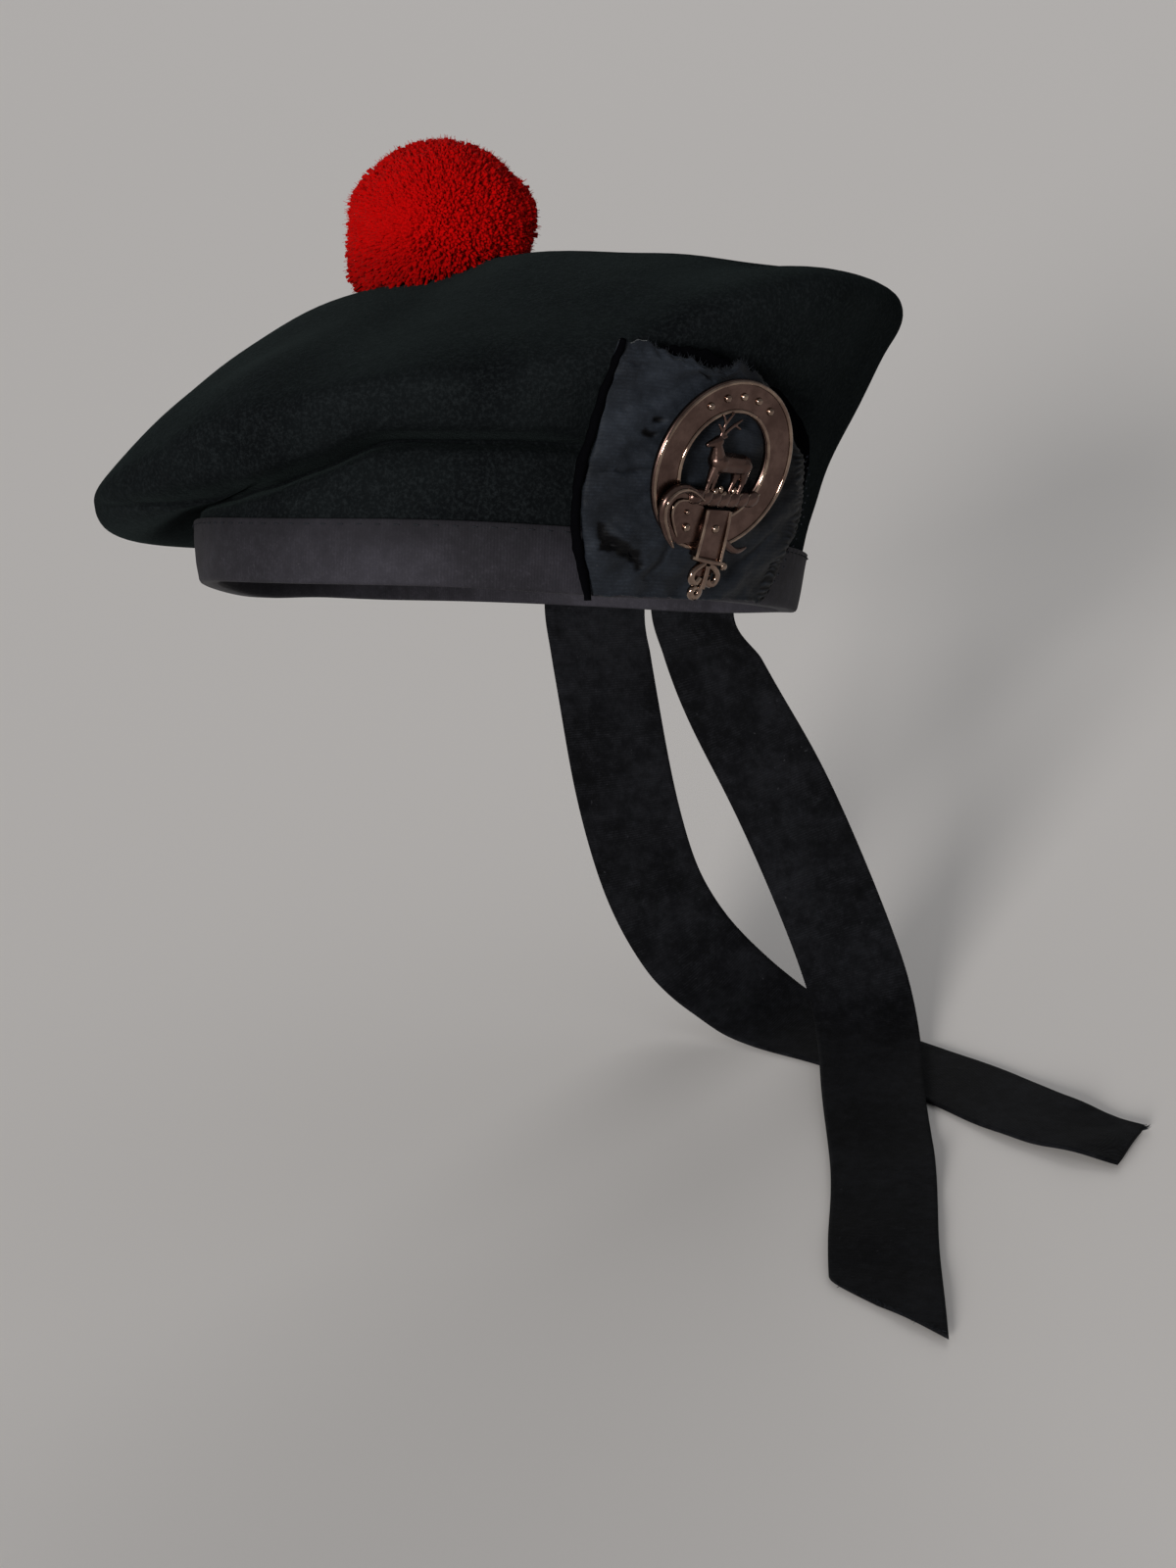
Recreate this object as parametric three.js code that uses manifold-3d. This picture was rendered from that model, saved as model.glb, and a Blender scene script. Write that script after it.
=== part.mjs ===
// A balmoral bonnet, shaped as it sits on a head: a felted crown that droops over the wearer's
// right and stands up over the left, a ribbon binding round its mouth, a pompom (the toorie), a
// gathered cockade with a strap-and-buckle badge, and the binding's two ends, which hang from the
// back of it as tails and lie on the surface below.
//
// Millimetres. +Z is up, -Y the wearer's front, +X the wearer's left. The origin is the middle
// of the mouth, where the head goes in. The mouth leans back by WORN_TILT, so everything but the
// tails is made in a level frame and turned once, as a group. In that level frame an angle runs
// from the wearer's front (0) towards the wearer's left (90), and a radius from the mouth's middle.
import * as THREE from "three";
import { mergeVertices } from "three/addons/utils/BufferGeometryUtils.js";
import Module from "manifold-3d";

const wasm = await Module();
wasm.setup();

// ---------------------------------------------------------------- driving dimensions
const WORN_TILT = 16; // degrees that the mouth leans back, with its front edge up
const FELT = 2.6; // thickness of the felted wool
const MOUTH_HALF_BREADTH = 79.5; // outside of the felt at the mouth, side to side
const MOUTH_HALF_LENGTH = 100.5; // and front to back
const MOUTH_SAG = 5; // how much lower than the front the mouth's edge hangs at the back
const MOUTH_DIP = { angle: -85, reach: 24, depth: 2.5 }; // how the edge dips at the right side
const MOUTH_DRAWN_IN = 3; // at each side, from the binding's upper edge down to the mouth
const BAND_HEIGHT = 16.5; // how far the binding reaches up the outside
const BAND_INSIDE_HEIGHT = 12;
const BAND_THICK = 1.1;
const GAP = 0.35; // between pieces that touch on the real bonnet
const CROWN_CENTRE = { x: -23, y: -1.5, z: 89.5 }; // where the toorie is sewn on
const SURFACE_Z = -172; // what the tails lie on
const TAIL_THICK = 1;

// ---------------------------------------------------------------- general shapes
const point = (x, y, z) => new THREE.Vector3(x, y, z);
const sine = (degrees) => Math.sin(THREE.MathUtils.degToRad(degrees));
const cosine = (degrees) => Math.cos(THREE.MathUtils.degToRad(degrees));
const steps = (count, make) => Array.from({ length: count + 1 }, (_, i) => make(i / count));

// A point in the level frame.
const level = (angle, radius, z) => point(radius * sine(angle), -radius * cosine(angle), z);

// A smooth value through one column of a table, whose rows rise in the column named key.
function through(rows, key, column) {
  const slope = (i) => {
    const before = rows[Math.max(i - 1, 0)];
    const after = rows[Math.min(i + 1, rows.length - 1)];
    return (after[column] - before[column]) / (after[key] - before[key]);
  };
  return (asked) => {
    const at = THREE.MathUtils.clamp(asked, rows[0][key], rows[rows.length - 1][key]);
    let i = 0;
    while (i < rows.length - 2 && rows[i + 1][key] <= at) i++;
    const width = rows[i + 1][key] - rows[i][key];
    const t = (at - rows[i][key]) / width;
    const fromHere = rows[i][column] * (1 + 2 * t) + width * slope(i) * t;
    const fromNext = rows[i + 1][column] * (3 - 2 * t) - width * slope(i + 1) * (1 - t);
    return fromHere * (1 - t) ** 2 + fromNext * t ** 2;
  };
}

// The same round the whole head, for a table whose rows have an angle.
function roundTheHead(rows, column) {
  const turned = (by) => rows.map((row) => ({ ...row, angle: row.angle + by }));
  const value = through([...turned(-360), ...rows, ...turned(360)], "angle", column);
  return (angle) => value(THREE.MathUtils.euclideanModulo(angle + 180, 360) - 180);
}

// Merges shared vertices, drops the slivers that a pole leaves, and turns the faces outwards.
function facingOut(geometry) {
  const merged = mergeVertices(geometry, 1e-4);
  const corner = (i) => new THREE.Vector3().fromBufferAttribute(merged.attributes.position, i);
  const kept = [];
  let volume = 0;
  for (let i = 0; i < merged.index.count; i += 3) {
    const [a, b, c] = [i, i + 1, i + 2].map((k) => merged.index.getX(k));
    if (a === b || b === c || c === a) continue;
    kept.push(a, b, c);
    volume += corner(a).dot(corner(b).cross(corner(c)));
  }
  merged.setIndex(volume < 0 ? kept.reverse() : kept);
  return merged;
}

// A closed solid from rows of points. Each row is a loop that runs out along one face and back
// along the other, so its point j is across the thickness from its point n - 1 - j. The rows
// either come round to the first one again, or end in caps.
function loft(rows, comesRound) {
  const n = rows[0].length;
  const index = [];
  const quad = (a, b, c, d) => index.push(a, b, c, a, c, d);
  const spans = comesRound ? rows.length : rows.length - 1;
  for (let i = 0; i < spans; i++) {
    const here = i * n;
    const next = ((i + 1) % rows.length) * n;
    for (let j = 0; j < n; j++) {
      const k = (j + 1) % n;
      quad(here + j, here + k, next + k, next + j);
    }
  }
  if (!comesRound) {
    const end = (rows.length - 1) * n;
    for (let j = 0; j < n / 2 - 1; j++) {
      quad(j, n - 1 - j, n - 2 - j, j + 1);
      quad(end + j, end + j + 1, end + n - 2 - j, end + n - 1 - j);
    }
  }
  const position = rows.flat().flatMap((p) => [p.x, p.y, p.z]);
  const geometry = new THREE.BufferGeometry();
  geometry.setAttribute("position", new THREE.Float32BufferAttribute(position, 3));
  geometry.setIndex(index);
  return facingOut(geometry);
}

// A three.js geometry as a manifold-3d solid, and back.
function solid(geometry) {
  const bare = geometry.clone();
  bare.deleteAttribute("normal");
  bare.deleteAttribute("uv");
  const closed = facingOut(bare);
  return new wasm.Manifold(
    new wasm.Mesh({
      numProp: 3,
      vertProperties: new Float32Array(closed.attributes.position.array),
      triVerts: new Uint32Array(closed.index.array),
    }),
  );
}
function geometryOf(manifold) {
  const made = manifold.getMesh();
  const geometry = new THREE.BufferGeometry();
  geometry.setAttribute("position", new THREE.BufferAttribute(made.vertProperties, 3));
  geometry.setIndex(new THREE.BufferAttribute(made.triVerts, 1));
  return geometry;
}

// ---------------------------------------------------------------- mouth and crown

// How far the felt's outside is from the mouth's middle at a height over its edge, moved out by
// some millimetres, and how high that edge is.
function mouthRadius(angle, out = 0, over = BAND_HEIGHT) {
  const drawnIn = MOUTH_DRAWN_IN * (1 - Math.min(over / BAND_HEIGHT, 1));
  const breadth = MOUTH_HALF_BREADTH - drawnIn + out;
  return 1 / Math.hypot(sine(angle) / breadth, cosine(angle) / (MOUTH_HALF_LENGTH + out));
}
const mouthZ = (angle) => {
  const away = (((angle - MOUTH_DIP.angle + 540) % 360) - 180) / MOUTH_DIP.reach;
  return -MOUTH_SAG * (0.5 - 0.5 * cosine(angle)) - MOUTH_DIP.depth * Math.exp(-away * away);
};

// One row for each section of the crown's underside. The side wall rises from the mouth to a
// crease, which lies creaseOut beyond the mouth's outline, at creaseZ. From there the underside
// goes out to the rim, at underZ half way.
const CROWN_UNDERSIDE = [
  { angle: -170, creaseOut: 2, creaseZ: 21, underZ: 21 },
  { angle: -145, creaseOut: 2, creaseZ: 19, underZ: 14 },
  { angle: -118, creaseOut: 2, creaseZ: 18, underZ: 10.5 },
  { angle: -90, creaseOut: 1.5, creaseZ: 18, underZ: 9.5 },
  { angle: -65, creaseOut: 0.5, creaseZ: 18.5, underZ: 10.5 },
  { angle: -45, creaseOut: -0.5, creaseZ: 19.5, underZ: 14 },
  { angle: -25, creaseOut: -1.5, creaseZ: 22.5, underZ: 21 },
  { angle: -5, creaseOut: -2, creaseZ: 29.5, underZ: 30.5 },
  { angle: 12, creaseOut: -2, creaseZ: 35.5, underZ: 37 },
  { angle: 28, creaseOut: -1, creaseZ: 36.5, underZ: 39.5 },
  { angle: 45, creaseOut: 3, creaseZ: 37.5, underZ: 46 },
  { angle: 60, creaseOut: 8, creaseZ: 38, underZ: 54 },
  { angle: 80, creaseOut: 9, creaseZ: 38, underZ: 58 },
  { angle: 115, creaseOut: 5, creaseZ: 35, underZ: 52 },
  { angle: 140, creaseOut: 4, creaseZ: 31, underZ: 45 },
  { angle: 165, creaseOut: 3, creaseZ: 26, underZ: 32 },
];
// One row for each section of the crown's rim and top. The rim is rimRound in radius, and its
// outermost point is rimOut from the mouth's middle, at rimZ. The top climbs from it to the
// toorie: z78, z56 and z28 are its heights at those hundredths of the way from toorie to rim.
const CROWN_TOP_SIDE = [
  { angle: -170, rimOut: 112, rimZ: 40, rimRound: 10, z78: 65, z56: 77, z28: 86 },
  { angle: -145, rimOut: 116, rimZ: 27, rimRound: 9, z78: 55, z56: 72, z28: 83 },
  { angle: -118, rimOut: 119, rimZ: 19, rimRound: 9, z78: 48, z56: 67.5, z28: 81 },
  { angle: -90, rimOut: 119.4, rimZ: 17.4, rimRound: 8, z78: 45.5, z56: 66, z28: 80 },
  { angle: -65, rimOut: 115.7, rimZ: 18.8, rimRound: 7.5, z78: 46, z56: 65, z28: 79.5 },
  { angle: -45, rimOut: 111.7, rimZ: 24.8, rimRound: 8, z78: 49, z56: 64.5, z28: 79 },
  { angle: -25, rimOut: 108, rimZ: 34, rimRound: 8, z78: 54.5, z56: 65, z28: 79 },
  { angle: -5, rimOut: 106, rimZ: 42, rimRound: 7.5, z78: 59, z56: 67, z28: 79.5 },
  { angle: 12, rimOut: 105, rimZ: 47.5, rimRound: 7, z78: 61.5, z56: 69.5, z28: 80.5 },
  { angle: 28, rimOut: 104.5, rimZ: 51, rimRound: 7, z78: 66, z56: 74.5, z28: 84 },
  { angle: 45, rimOut: 105, rimZ: 60, rimRound: 8, z78: 73.5, z56: 81, z28: 88 },
  { angle: 60, rimOut: 107, rimZ: 72, rimRound: 8, z78: 81.5, z56: 87, z28: 91 },
  { angle: 80, rimOut: 108, rimZ: 78, rimRound: 8, z78: 86.5, z56: 91, z28: 92.5 },
  { angle: 115, rimOut: 107.6, rimZ: 76.8, rimRound: 9, z78: 89, z56: 91.5, z28: 92.6 },
  { angle: 140, rimOut: 108, rimZ: 68, rimRound: 10, z78: 84, z56: 89.5, z28: 91.5 },
  { angle: 165, rimOut: 110, rimZ: 53, rimRound: 10, z78: 75, z56: 84, z28: 89 },
];
const RIM_FROM = -60; // degrees round the rim, from the underside
const RIM_TO = 50; // to the top
const CROWN_AROUND = 56; // sections that the solid has
const POINTS_A_SPAN = 2; // points that it has from one of a section's named points to the next

const [creaseOut, creaseZ, underZ] = ["creaseOut", "creaseZ", "underZ"].map((column) =>
  roundTheHead(CROWN_UNDERSIDE, column),
);
const [rimOut, rimZ, rimRound] = ["rimOut", "rimZ", "rimRound"].map((column) =>
  roundTheHead(CROWN_TOP_SIDE, column),
);
const ON_TOP = [78, 56, 28].map((hundredths) => ({
  share: hundredths / 100,
  z: roundTheHead(CROWN_TOP_SIDE, "z" + hundredths),
}));

// The outside of the crown at an angle, as a curve from the mouth up to the toorie.
function crownSection(angle) {
  const [rim, height, round] = [rimOut(angle), rimZ(angle), rimRound(angle)];
  const onWall = (over) => level(angle, mouthRadius(angle, 0, over), mouthZ(angle) + over);
  const creaseRadius = mouthRadius(angle, creaseOut(angle));
  const onRim = (turn) =>
    level(angle, rim - round * (1 - cosine(turn)), height + round * sine(turn));
  const onTop = ({ share, z }) =>
    centre.clone().lerp(level(angle, rim, 0), share).setZ(z(angle));
  const underside = onRim(RIM_FROM);
  const halfWay = (creaseRadius + Math.hypot(underside.x, underside.y)) / 2;
  const centre = point(CROWN_CENTRE.x, CROWN_CENTRE.y, CROWN_CENTRE.z);
  return new THREE.CatmullRomCurve3(
    [
      onWall(BAND_THICK + GAP),
      onWall(BAND_HEIGHT / 2),
      onWall(BAND_HEIGHT),
      level(angle, creaseRadius, creaseZ(angle)),
      level(angle, halfWay, underZ(angle)),
      underside,
      onRim(0),
      onRim(RIM_TO),
      ...ON_TOP.map(onTop),
      centre,
    ],
    false,
    "centripetal",
  );
}

const crownAngle = (i) => (360 * i) / CROWN_AROUND;
const crownOutside = steps(CROWN_AROUND, (t) => crownSection(360 * t))
  .slice(0, CROWN_AROUND)
  .map((curve) => steps(POINTS_A_SPAN * (curve.points.length - 1), (t) => curve.getPoint(t)));
const CROWN_TOP = crownOutside[0].length - 1;

// A point some millimetres out from the crown's outside, square to it.
function fromCrown(i, j, out) {
  if (j === CROWN_TOP) return crownOutside[i][j].clone().setZ(CROWN_CENTRE.z + out);
  const along = crownOutside[(i + 1) % CROWN_AROUND][j]
    .clone()
    .sub(crownOutside[(i + CROWN_AROUND - 1) % CROWN_AROUND][j]);
  const up = crownOutside[i][j + 1].clone().sub(crownOutside[i][Math.max(j - 1, 0)]);
  return crownOutside[i][j].clone().addScaledVector(along.cross(up).normalize(), out);
}

function crown() {
  const rows = crownOutside.map((section, i) => [
    ...section.map((_, j) => fromCrown(i, j, 0)),
    ...section.map((_, j) => fromCrown(i, CROWN_TOP - j, -FELT)),
  ]);
  return loft(rows, true);
}

// ---------------------------------------------------------------- headband

// A ribbon folded over the felt's edge, with its longer side outside.
function headband() {
  const outside = GAP + BAND_THICK;
  const inside = -FELT - outside;
  const fold = BAND_THICK / 2;
  const row = (angle) =>
    [
      { out: outside, z: BAND_HEIGHT },
      { out: outside, z: fold },
      { out: outside - fold, z: 0 },
      { out: inside + fold, z: 0 },
      { out: inside, z: fold },
      { out: inside, z: BAND_INSIDE_HEIGHT },
      { out: inside + BAND_THICK, z: BAND_INSIDE_HEIGHT },
      { out: inside + BAND_THICK, z: BAND_THICK },
      { out: GAP, z: BAND_THICK },
      { out: GAP, z: BAND_HEIGHT },
    ].map(({ out, z }) => level(angle, mouthRadius(angle, out, z), mouthZ(angle) + z));
  return loft(crownOutside.map((_, i) => row(crownAngle(i))), true);
}

// ---------------------------------------------------------------- toorie

// The pompom's outer form, as radii from its own upright axis at heights over the crown's middle.
// Its underside follows the crown, so low down the heights follow it too.
const TOORIE_SECTIONS = [
  { z: 3, radius: 25.2 },
  { z: 9, radius: 26.5 },
  { z: 16, radius: 26.2 },
  { z: 21, radius: 24 },
  { z: 26, radius: 20 },
  { z: 30, radius: 15.5 },
  { z: 33, radius: 10 },
];
const TOORIE_FOOT = 23; // radius of what touches the crown
const TOORIE_TOP = 35.5;
const TOORIE_LEVEL_FROM = 22; // from this height up the crown's slope has no effect

function toorie() {
  const axis = point(CROWN_CENTRE.x, CROWN_CENTRE.y, CROWN_CENTRE.z);
  const rows = crownOutside.map((section, i) => {
    const beyond = (p) => Math.hypot(p.x - axis.x, p.y - axis.y);
    const j = section.findIndex((p, k) => k > CROWN_TOP / 2 && beyond(p) < TOORIE_FOOT);
    const [far, near] = [fromCrown(i, j - 1, GAP), fromCrown(i, j, GAP)];
    const foot = near.clone().lerp(far, (TOORIE_FOOT - beyond(near)) / (beyond(far) - beyond(near)));
    const away = foot.clone().sub(axis).setZ(0).normalize();
    const under = section.slice(j, CROWN_TOP).map((_, k) => fromCrown(i, CROWN_TOP - 1 - k, GAP));
    const side = TOORIE_SECTIONS.map(({ z, radius }) => {
      const slope = (foot.z - axis.z) * Math.max(0, 1 - z / TOORIE_LEVEL_FROM);
      return axis.clone().addScaledVector(away, radius).setZ(axis.z + z + slope);
    });
    const [bottom, top] = [GAP, TOORIE_TOP].map((z) => axis.clone().setZ(axis.z + z));
    return [bottom, ...under, foot, ...side, top];
  });
  const most = Math.max(...rows.map((row) => row.length));
  return loft(
    rows.map((row) => [...Array(most - row.length).fill(row[0]), ...row]),
    true,
  );
}

// ---------------------------------------------------------------- cockade

// A gathered ribbon panel, by height: where its edge towards the front and its edge towards the
// back are, how much lower it is at the back edge, and how thick.
const COCKADE_SECTIONS = [
  { z: -1, front: 37.6, back: 82, drop: 0, thick: 2.4 },
  { z: 10, front: 35.1, back: 82, drop: 0, thick: 3.2 },
  { z: 23, front: 33.9, back: 81.3, drop: 0, thick: 3.6 },
  { z: 37, front: 35, back: 77, drop: 1.5, thick: 3.4 },
  { z: 49, front: 36.4, back: 71.6, drop: 8, thick: 3 },
  { z: 60, front: 37.9, back: 61.4, drop: 5, thick: 2.2 },
];
const COCKADE_LEAN = 20; // degrees that it leans out from the binding to the crown's rim
const COCKADE_EDGE = 0.45; // how thick its edges are, as a share of its middle's thickness
const COCKADE_ROUNDED = 0.18; // share of its width over which each edge thins
const COCKADE_UP = 12; // rows that the solid has
const COCKADE_ACROSS = 14; // and columns

// The cockade's inner face, which starts GAP from the binding, moved out by some millimetres.
function cockadeFace(angle, z, out) {
  const over = Math.max(z, 0);
  const leaning = (over * sine(COCKADE_LEAN) + out) / cosine(COCKADE_LEAN);
  return level(angle, mouthRadius(angle, BAND_THICK + 2 * GAP, over) + leaning, z);
}
const [cockadeFront, cockadeBack, cockadeDrop, cockadeThick] = ["front", "back", "drop", "thick"].map(
  (column) => through(COCKADE_SECTIONS, "z", column),
);

function cockade() {
  const [bottom, top] = [COCKADE_SECTIONS[0].z, COCKADE_SECTIONS.at(-1).z];
  const rows = steps(COCKADE_UP, (up) => {
    const z = THREE.MathUtils.lerp(bottom, top, up);
    const line = (out, way) =>
      steps(COCKADE_ACROSS, (t) => {
        const across = way > 0 ? t : 1 - t;
        const angle = THREE.MathUtils.lerp(cockadeFront(z), cockadeBack(z), across);
        const fromEdge = Math.min(across, 1 - across, COCKADE_ROUNDED) / COCKADE_ROUNDED;
        const thinned = THREE.MathUtils.lerp(COCKADE_EDGE, 1, fromEdge);
        return cockadeFace(angle, z - cockadeDrop(z) * across ** 2, out * thinned);
      });
    return [...line(cockadeThick(z), 1), ...line(0, -1)];
  });
  return loft(rows, false);
}

// ---------------------------------------------------------------- badge and its pin

// The badge's own frame has its back in the plane of u and v, with v up it and w out of it.
const BADGE_ANGLE = 55.8; // where its middle is on the cockade
const BADGE_Z = 32.8;
const BADGE_LEAN = 2; // degrees that it leans out further than the cockade
const BADGE_OFF = 1.15; // how far its back is from the cockade at its middle
const STRAP_OUTSIDE = 22.5; // radii of the strap's ring
const STRAP_INSIDE = 13.9;
const STRAP_THICK = 1.5;
const STRAP_RIM = 0.8; // width of the raised line along each of the strap's edges
const WREATH = { v: -8.6, turns: 7, long: 2.6, wide: 1.6, deep: 1.4, slant: 32, sag: 0.6 };
const STRAP_END = { u: 1.2, halfWidth: 4.3, top: -12, bottom: -28, tip: -35, thick: 2 };
const SLOT = { v: -26.4, halfWidth: 1.1, halfHeight: 2.6 }; // cut through the strap's end
const EYE = { v: -32.1, radius: 1.3 }; // and through its tip
const BUCKLE = { turn: 38, radius: 18.2, halfAlong: 4.6, halfAcross: 6.4, bar: 1.5, proud: 1.5 };
const TONGUE_RADIUS = 0.6;
const STUD_RADIUS = 1;
const PIN = { v: 18.2, length: 21, diameter: 1.3 };

// The deer, as tapered limbs with round ends, standing with all four feet on the wreath.
const DEER_LIMBS = [
  { name: "body", fromU: -2.8, fromV: 0, toU: 4.4, toV: -0.2, fromR: 2.3, toR: 2.1 },
  { name: "neck", fromU: -3.4, fromV: 0.8, toU: -5.1, toV: 4.6, fromR: 1.9, toR: 1.1 },
  { name: "head", fromU: -4.9, fromV: 5, toU: -7.9, toV: 4, fromR: 1.3, toR: 0.6 },
  { name: "ear", fromU: -4.4, fromV: 5.7, toU: -2.8, toV: 6.2, fromR: 0.5, toR: 0.3 },
  { name: "near foreleg", fromU: -3.9, fromV: -1.2, toU: -4.7, toV: -7.6, fromR: 1.1, toR: 0.6 },
  { name: "far foreleg", fromU: -2.5, fromV: -1.2, toU: -2.2, toV: -7.6, fromR: 1.1, toR: 0.6 },
  { name: "near thigh", fromU: 4.6, fromV: -0.4, toU: 5.7, toV: -3.8, fromR: 1.8, toR: 0.8 },
  { name: "near shank", fromU: 5.7, fromV: -3.8, toU: 5.1, toV: -7.6, fromR: 0.8, toR: 0.6 },
  { name: "far thigh", fromU: 3.4, fromV: -0.6, toU: 3.6, toV: -4, fromR: 1.5, toR: 0.7 },
  { name: "far shank", fromU: 3.6, fromV: -4, toU: 2.8, toV: -7.6, fromR: 0.7, toR: 0.6 },
  { name: "tail", fromU: 6.2, fromV: 1, toU: 7.2, toV: -0.8, fromR: 0.7, toR: 0.4 },
  { name: "near antler", fromU: -4.8, fromV: 5.8, toU: -4.4, toV: 9.2, fromR: 0.5, toR: 0.45 },
  { name: "near antler top", fromU: -4.4, fromV: 9.2, toU: -2.8, toV: 11.8, fromR: 0.45, toR: 0.35 },
  { name: "near brow tine", fromU: -4.7, fromV: 7.2, toU: -6.3, toV: 8.8, fromR: 0.45, toR: 0.35 },
  { name: "near top tine", fromU: -4.4, fromV: 9.2, toU: -5.6, toV: 11, fromR: 0.45, toR: 0.35 },
  { name: "far antler", fromU: -4.5, fromV: 5.8, toU: -2.1, toV: 8.2, fromR: 0.5, toR: 0.45 },
  { name: "far antler top", fromU: -2.1, fromV: 8.2, toU: 0.6, toV: 10.2, fromR: 0.45, toR: 0.35 },
  { name: "far top tine", fromU: -1.2, fromV: 8.9, toU: 0.8, toV: 8, fromR: 0.45, toR: 0.35 },
];
const DEER_W = 1.3; // height of the deer's middle plane over the badge's back
const STUDS = [-44, -22, 0, 22, 44]; // degrees from the ring's top

const ball = (radius, u, v, w) => solid(new THREE.SphereGeometry(radius, 6, 4).translate(u, v, w));

// A tapered limb with a ball at each end.
function limb({ fromU, fromV, toU, toV, fromR, toR }, w) {
  const along = point(toU - fromU, toV - fromV, 0);
  const rod = new THREE.CylinderGeometry(toR, fromR, along.length(), 6)
    .applyQuaternion(new THREE.Quaternion().setFromUnitVectors(point(0, 1, 0), along.normalize()))
    .translate((fromU + toU) / 2, (fromV + toV) / 2, w);
  return solid(rod).add(ball(fromR, fromU, fromV, w)).add(ball(toR, toU, toV, w));
}

// A flat plate with a depth, its back in the plane of u and v.
const plate = (shape, depth) =>
  solid(new THREE.ExtrudeGeometry(shape, { depth, bevelEnabled: false, curveSegments: 6 }));

function strapRing() {
  const profile = [
    { radius: STRAP_INSIDE, w: 0 },
    { radius: STRAP_OUTSIDE, w: 0 },
    { radius: STRAP_OUTSIDE, w: STRAP_THICK },
    { radius: STRAP_OUTSIDE - STRAP_RIM / 2, w: STRAP_THICK + STRAP_RIM },
    { radius: STRAP_OUTSIDE - STRAP_RIM * 1.5, w: STRAP_THICK },
    { radius: STRAP_INSIDE + STRAP_RIM * 1.5, w: STRAP_THICK },
    { radius: STRAP_INSIDE + STRAP_RIM / 2, w: STRAP_THICK + STRAP_RIM },
    { radius: STRAP_INSIDE, w: STRAP_THICK },
    { radius: STRAP_INSIDE, w: 0 },
  ].map(({ radius, w }) => new THREE.Vector2(radius, w));
  return solid(new THREE.LatheGeometry(profile, 40).rotateX(Math.PI / 2));
}

// Slanting turns of twisted cloth, from side to side of the ring's opening.
function wreath() {
  const { v, turns, long, wide, deep, slant, sag } = WREATH;
  const reach = Math.sqrt(STRAP_INSIDE ** 2 - v ** 2) + STRAP_RIM;
  return steps(turns - 1, (t) => {
    const along = 2 * t - 1;
    const turn = new THREE.SphereGeometry(1, 6, 5)
      .scale(long, wide, deep)
      .rotateZ(THREE.MathUtils.degToRad(slant))
      .translate(along * reach, v + sag * along ** 2, DEER_W);
    return solid(turn);
  }).reduce((all, turn) => all.add(turn));
}

// The buckle's frame, across the strap at the lower left, with its tongue.
function buckle() {
  const { turn, radius, halfAlong, halfAcross, bar, proud } = BUCKLE;
  const box = (along, across, Kind) =>
    new Kind([
      new THREE.Vector2(-across, -along),
      new THREE.Vector2(across, -along),
      new THREE.Vector2(across, along),
      new THREE.Vector2(-across, along),
    ]);
  const outline = box(halfAlong, halfAcross, THREE.Shape);
  outline.holes.push(box(halfAlong - bar, halfAcross - bar, THREE.Path));
  const tongue = solid(
    new THREE.CylinderGeometry(TONGUE_RADIUS, TONGUE_RADIUS, 2 * halfAlong, 8),
  ).translate([0, 0, STRAP_THICK + TONGUE_RADIUS]);
  return plate(outline, STRAP_THICK + proud)
    .add(tongue)
    .translate([-radius, 0, 0])
    .rotate([0, 0, turn]);
}

// The strap's end hangs from the ring's foot and finishes in a pierced metal tip.
function strapEnd() {
  const { u, halfWidth, top, bottom, tip, thick } = STRAP_END;
  const hang = new THREE.Shape();
  hang.moveTo(u - halfWidth, top).lineTo(u - halfWidth, bottom);
  hang.absarc(u, tip + halfWidth, halfWidth, Math.PI, 2 * Math.PI);
  hang.lineTo(u + halfWidth, bottom).lineTo(u + halfWidth, top);
  const slot = new THREE.Path();
  slot.absellipse(u, SLOT.v, SLOT.halfWidth, SLOT.halfHeight, 0, 2 * Math.PI, true);
  const eye = new THREE.Path();
  eye.absarc(u, EYE.v, EYE.radius, 0, 2 * Math.PI, true);
  hang.holes.push(slot, eye);
  return plate(hang, thick);
}

function badge() {
  const studs = (STRAP_OUTSIDE + STRAP_INSIDE) / 2;
  const stud = (turn) =>
    ball(STUD_RADIUS, studs * sine(turn), studs * cosine(turn), STRAP_THICK);
  const pieces = [
    strapRing(),
    wreath(),
    buckle(),
    strapEnd(),
    ...DEER_LIMBS.map((row) => limb(row, DEER_W)),
    ...STUDS.map(stud),
  ];
  const whole = pieces.reduce((all, piece) => all.add(piece));
  return geometryOf(whole.trimByPlane([0, 0, 1], 0));
}

const badgePin = () =>
  new THREE.CylinderGeometry(PIN.diameter / 2, PIN.diameter / 2, PIN.length, 10)
    .rotateZ(Math.PI / 2)
    .translate(0, PIN.v, -GAP - PIN.diameter / 2);

// The frame that the badge and its pin stand in, nearly square to the cockade's face.
function badgeFrame() {
  const face = (angle, z) => cockadeFace(angle, z, cockadeThick(z));
  const middle = face(BADGE_ANGLE, BADGE_Z);
  const back = face(BADGE_ANGLE + 1, BADGE_Z).sub(face(BADGE_ANGLE - 1, BADGE_Z)).normalize();
  const up = face(BADGE_ANGLE, BADGE_Z + 1).sub(face(BADGE_ANGLE, BADGE_Z - 1)).normalize();
  const out = back.clone().cross(up).normalize();
  const square = new THREE.Matrix4().makeBasis(back, out.clone().cross(back), out);
  const lean = new THREE.Matrix4().makeRotationX(THREE.MathUtils.degToRad(BADGE_LEAN));
  return square.multiply(lean).setPosition(middle.addScaledVector(out, BADGE_OFF));
}

// ---------------------------------------------------------------- tails

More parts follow.
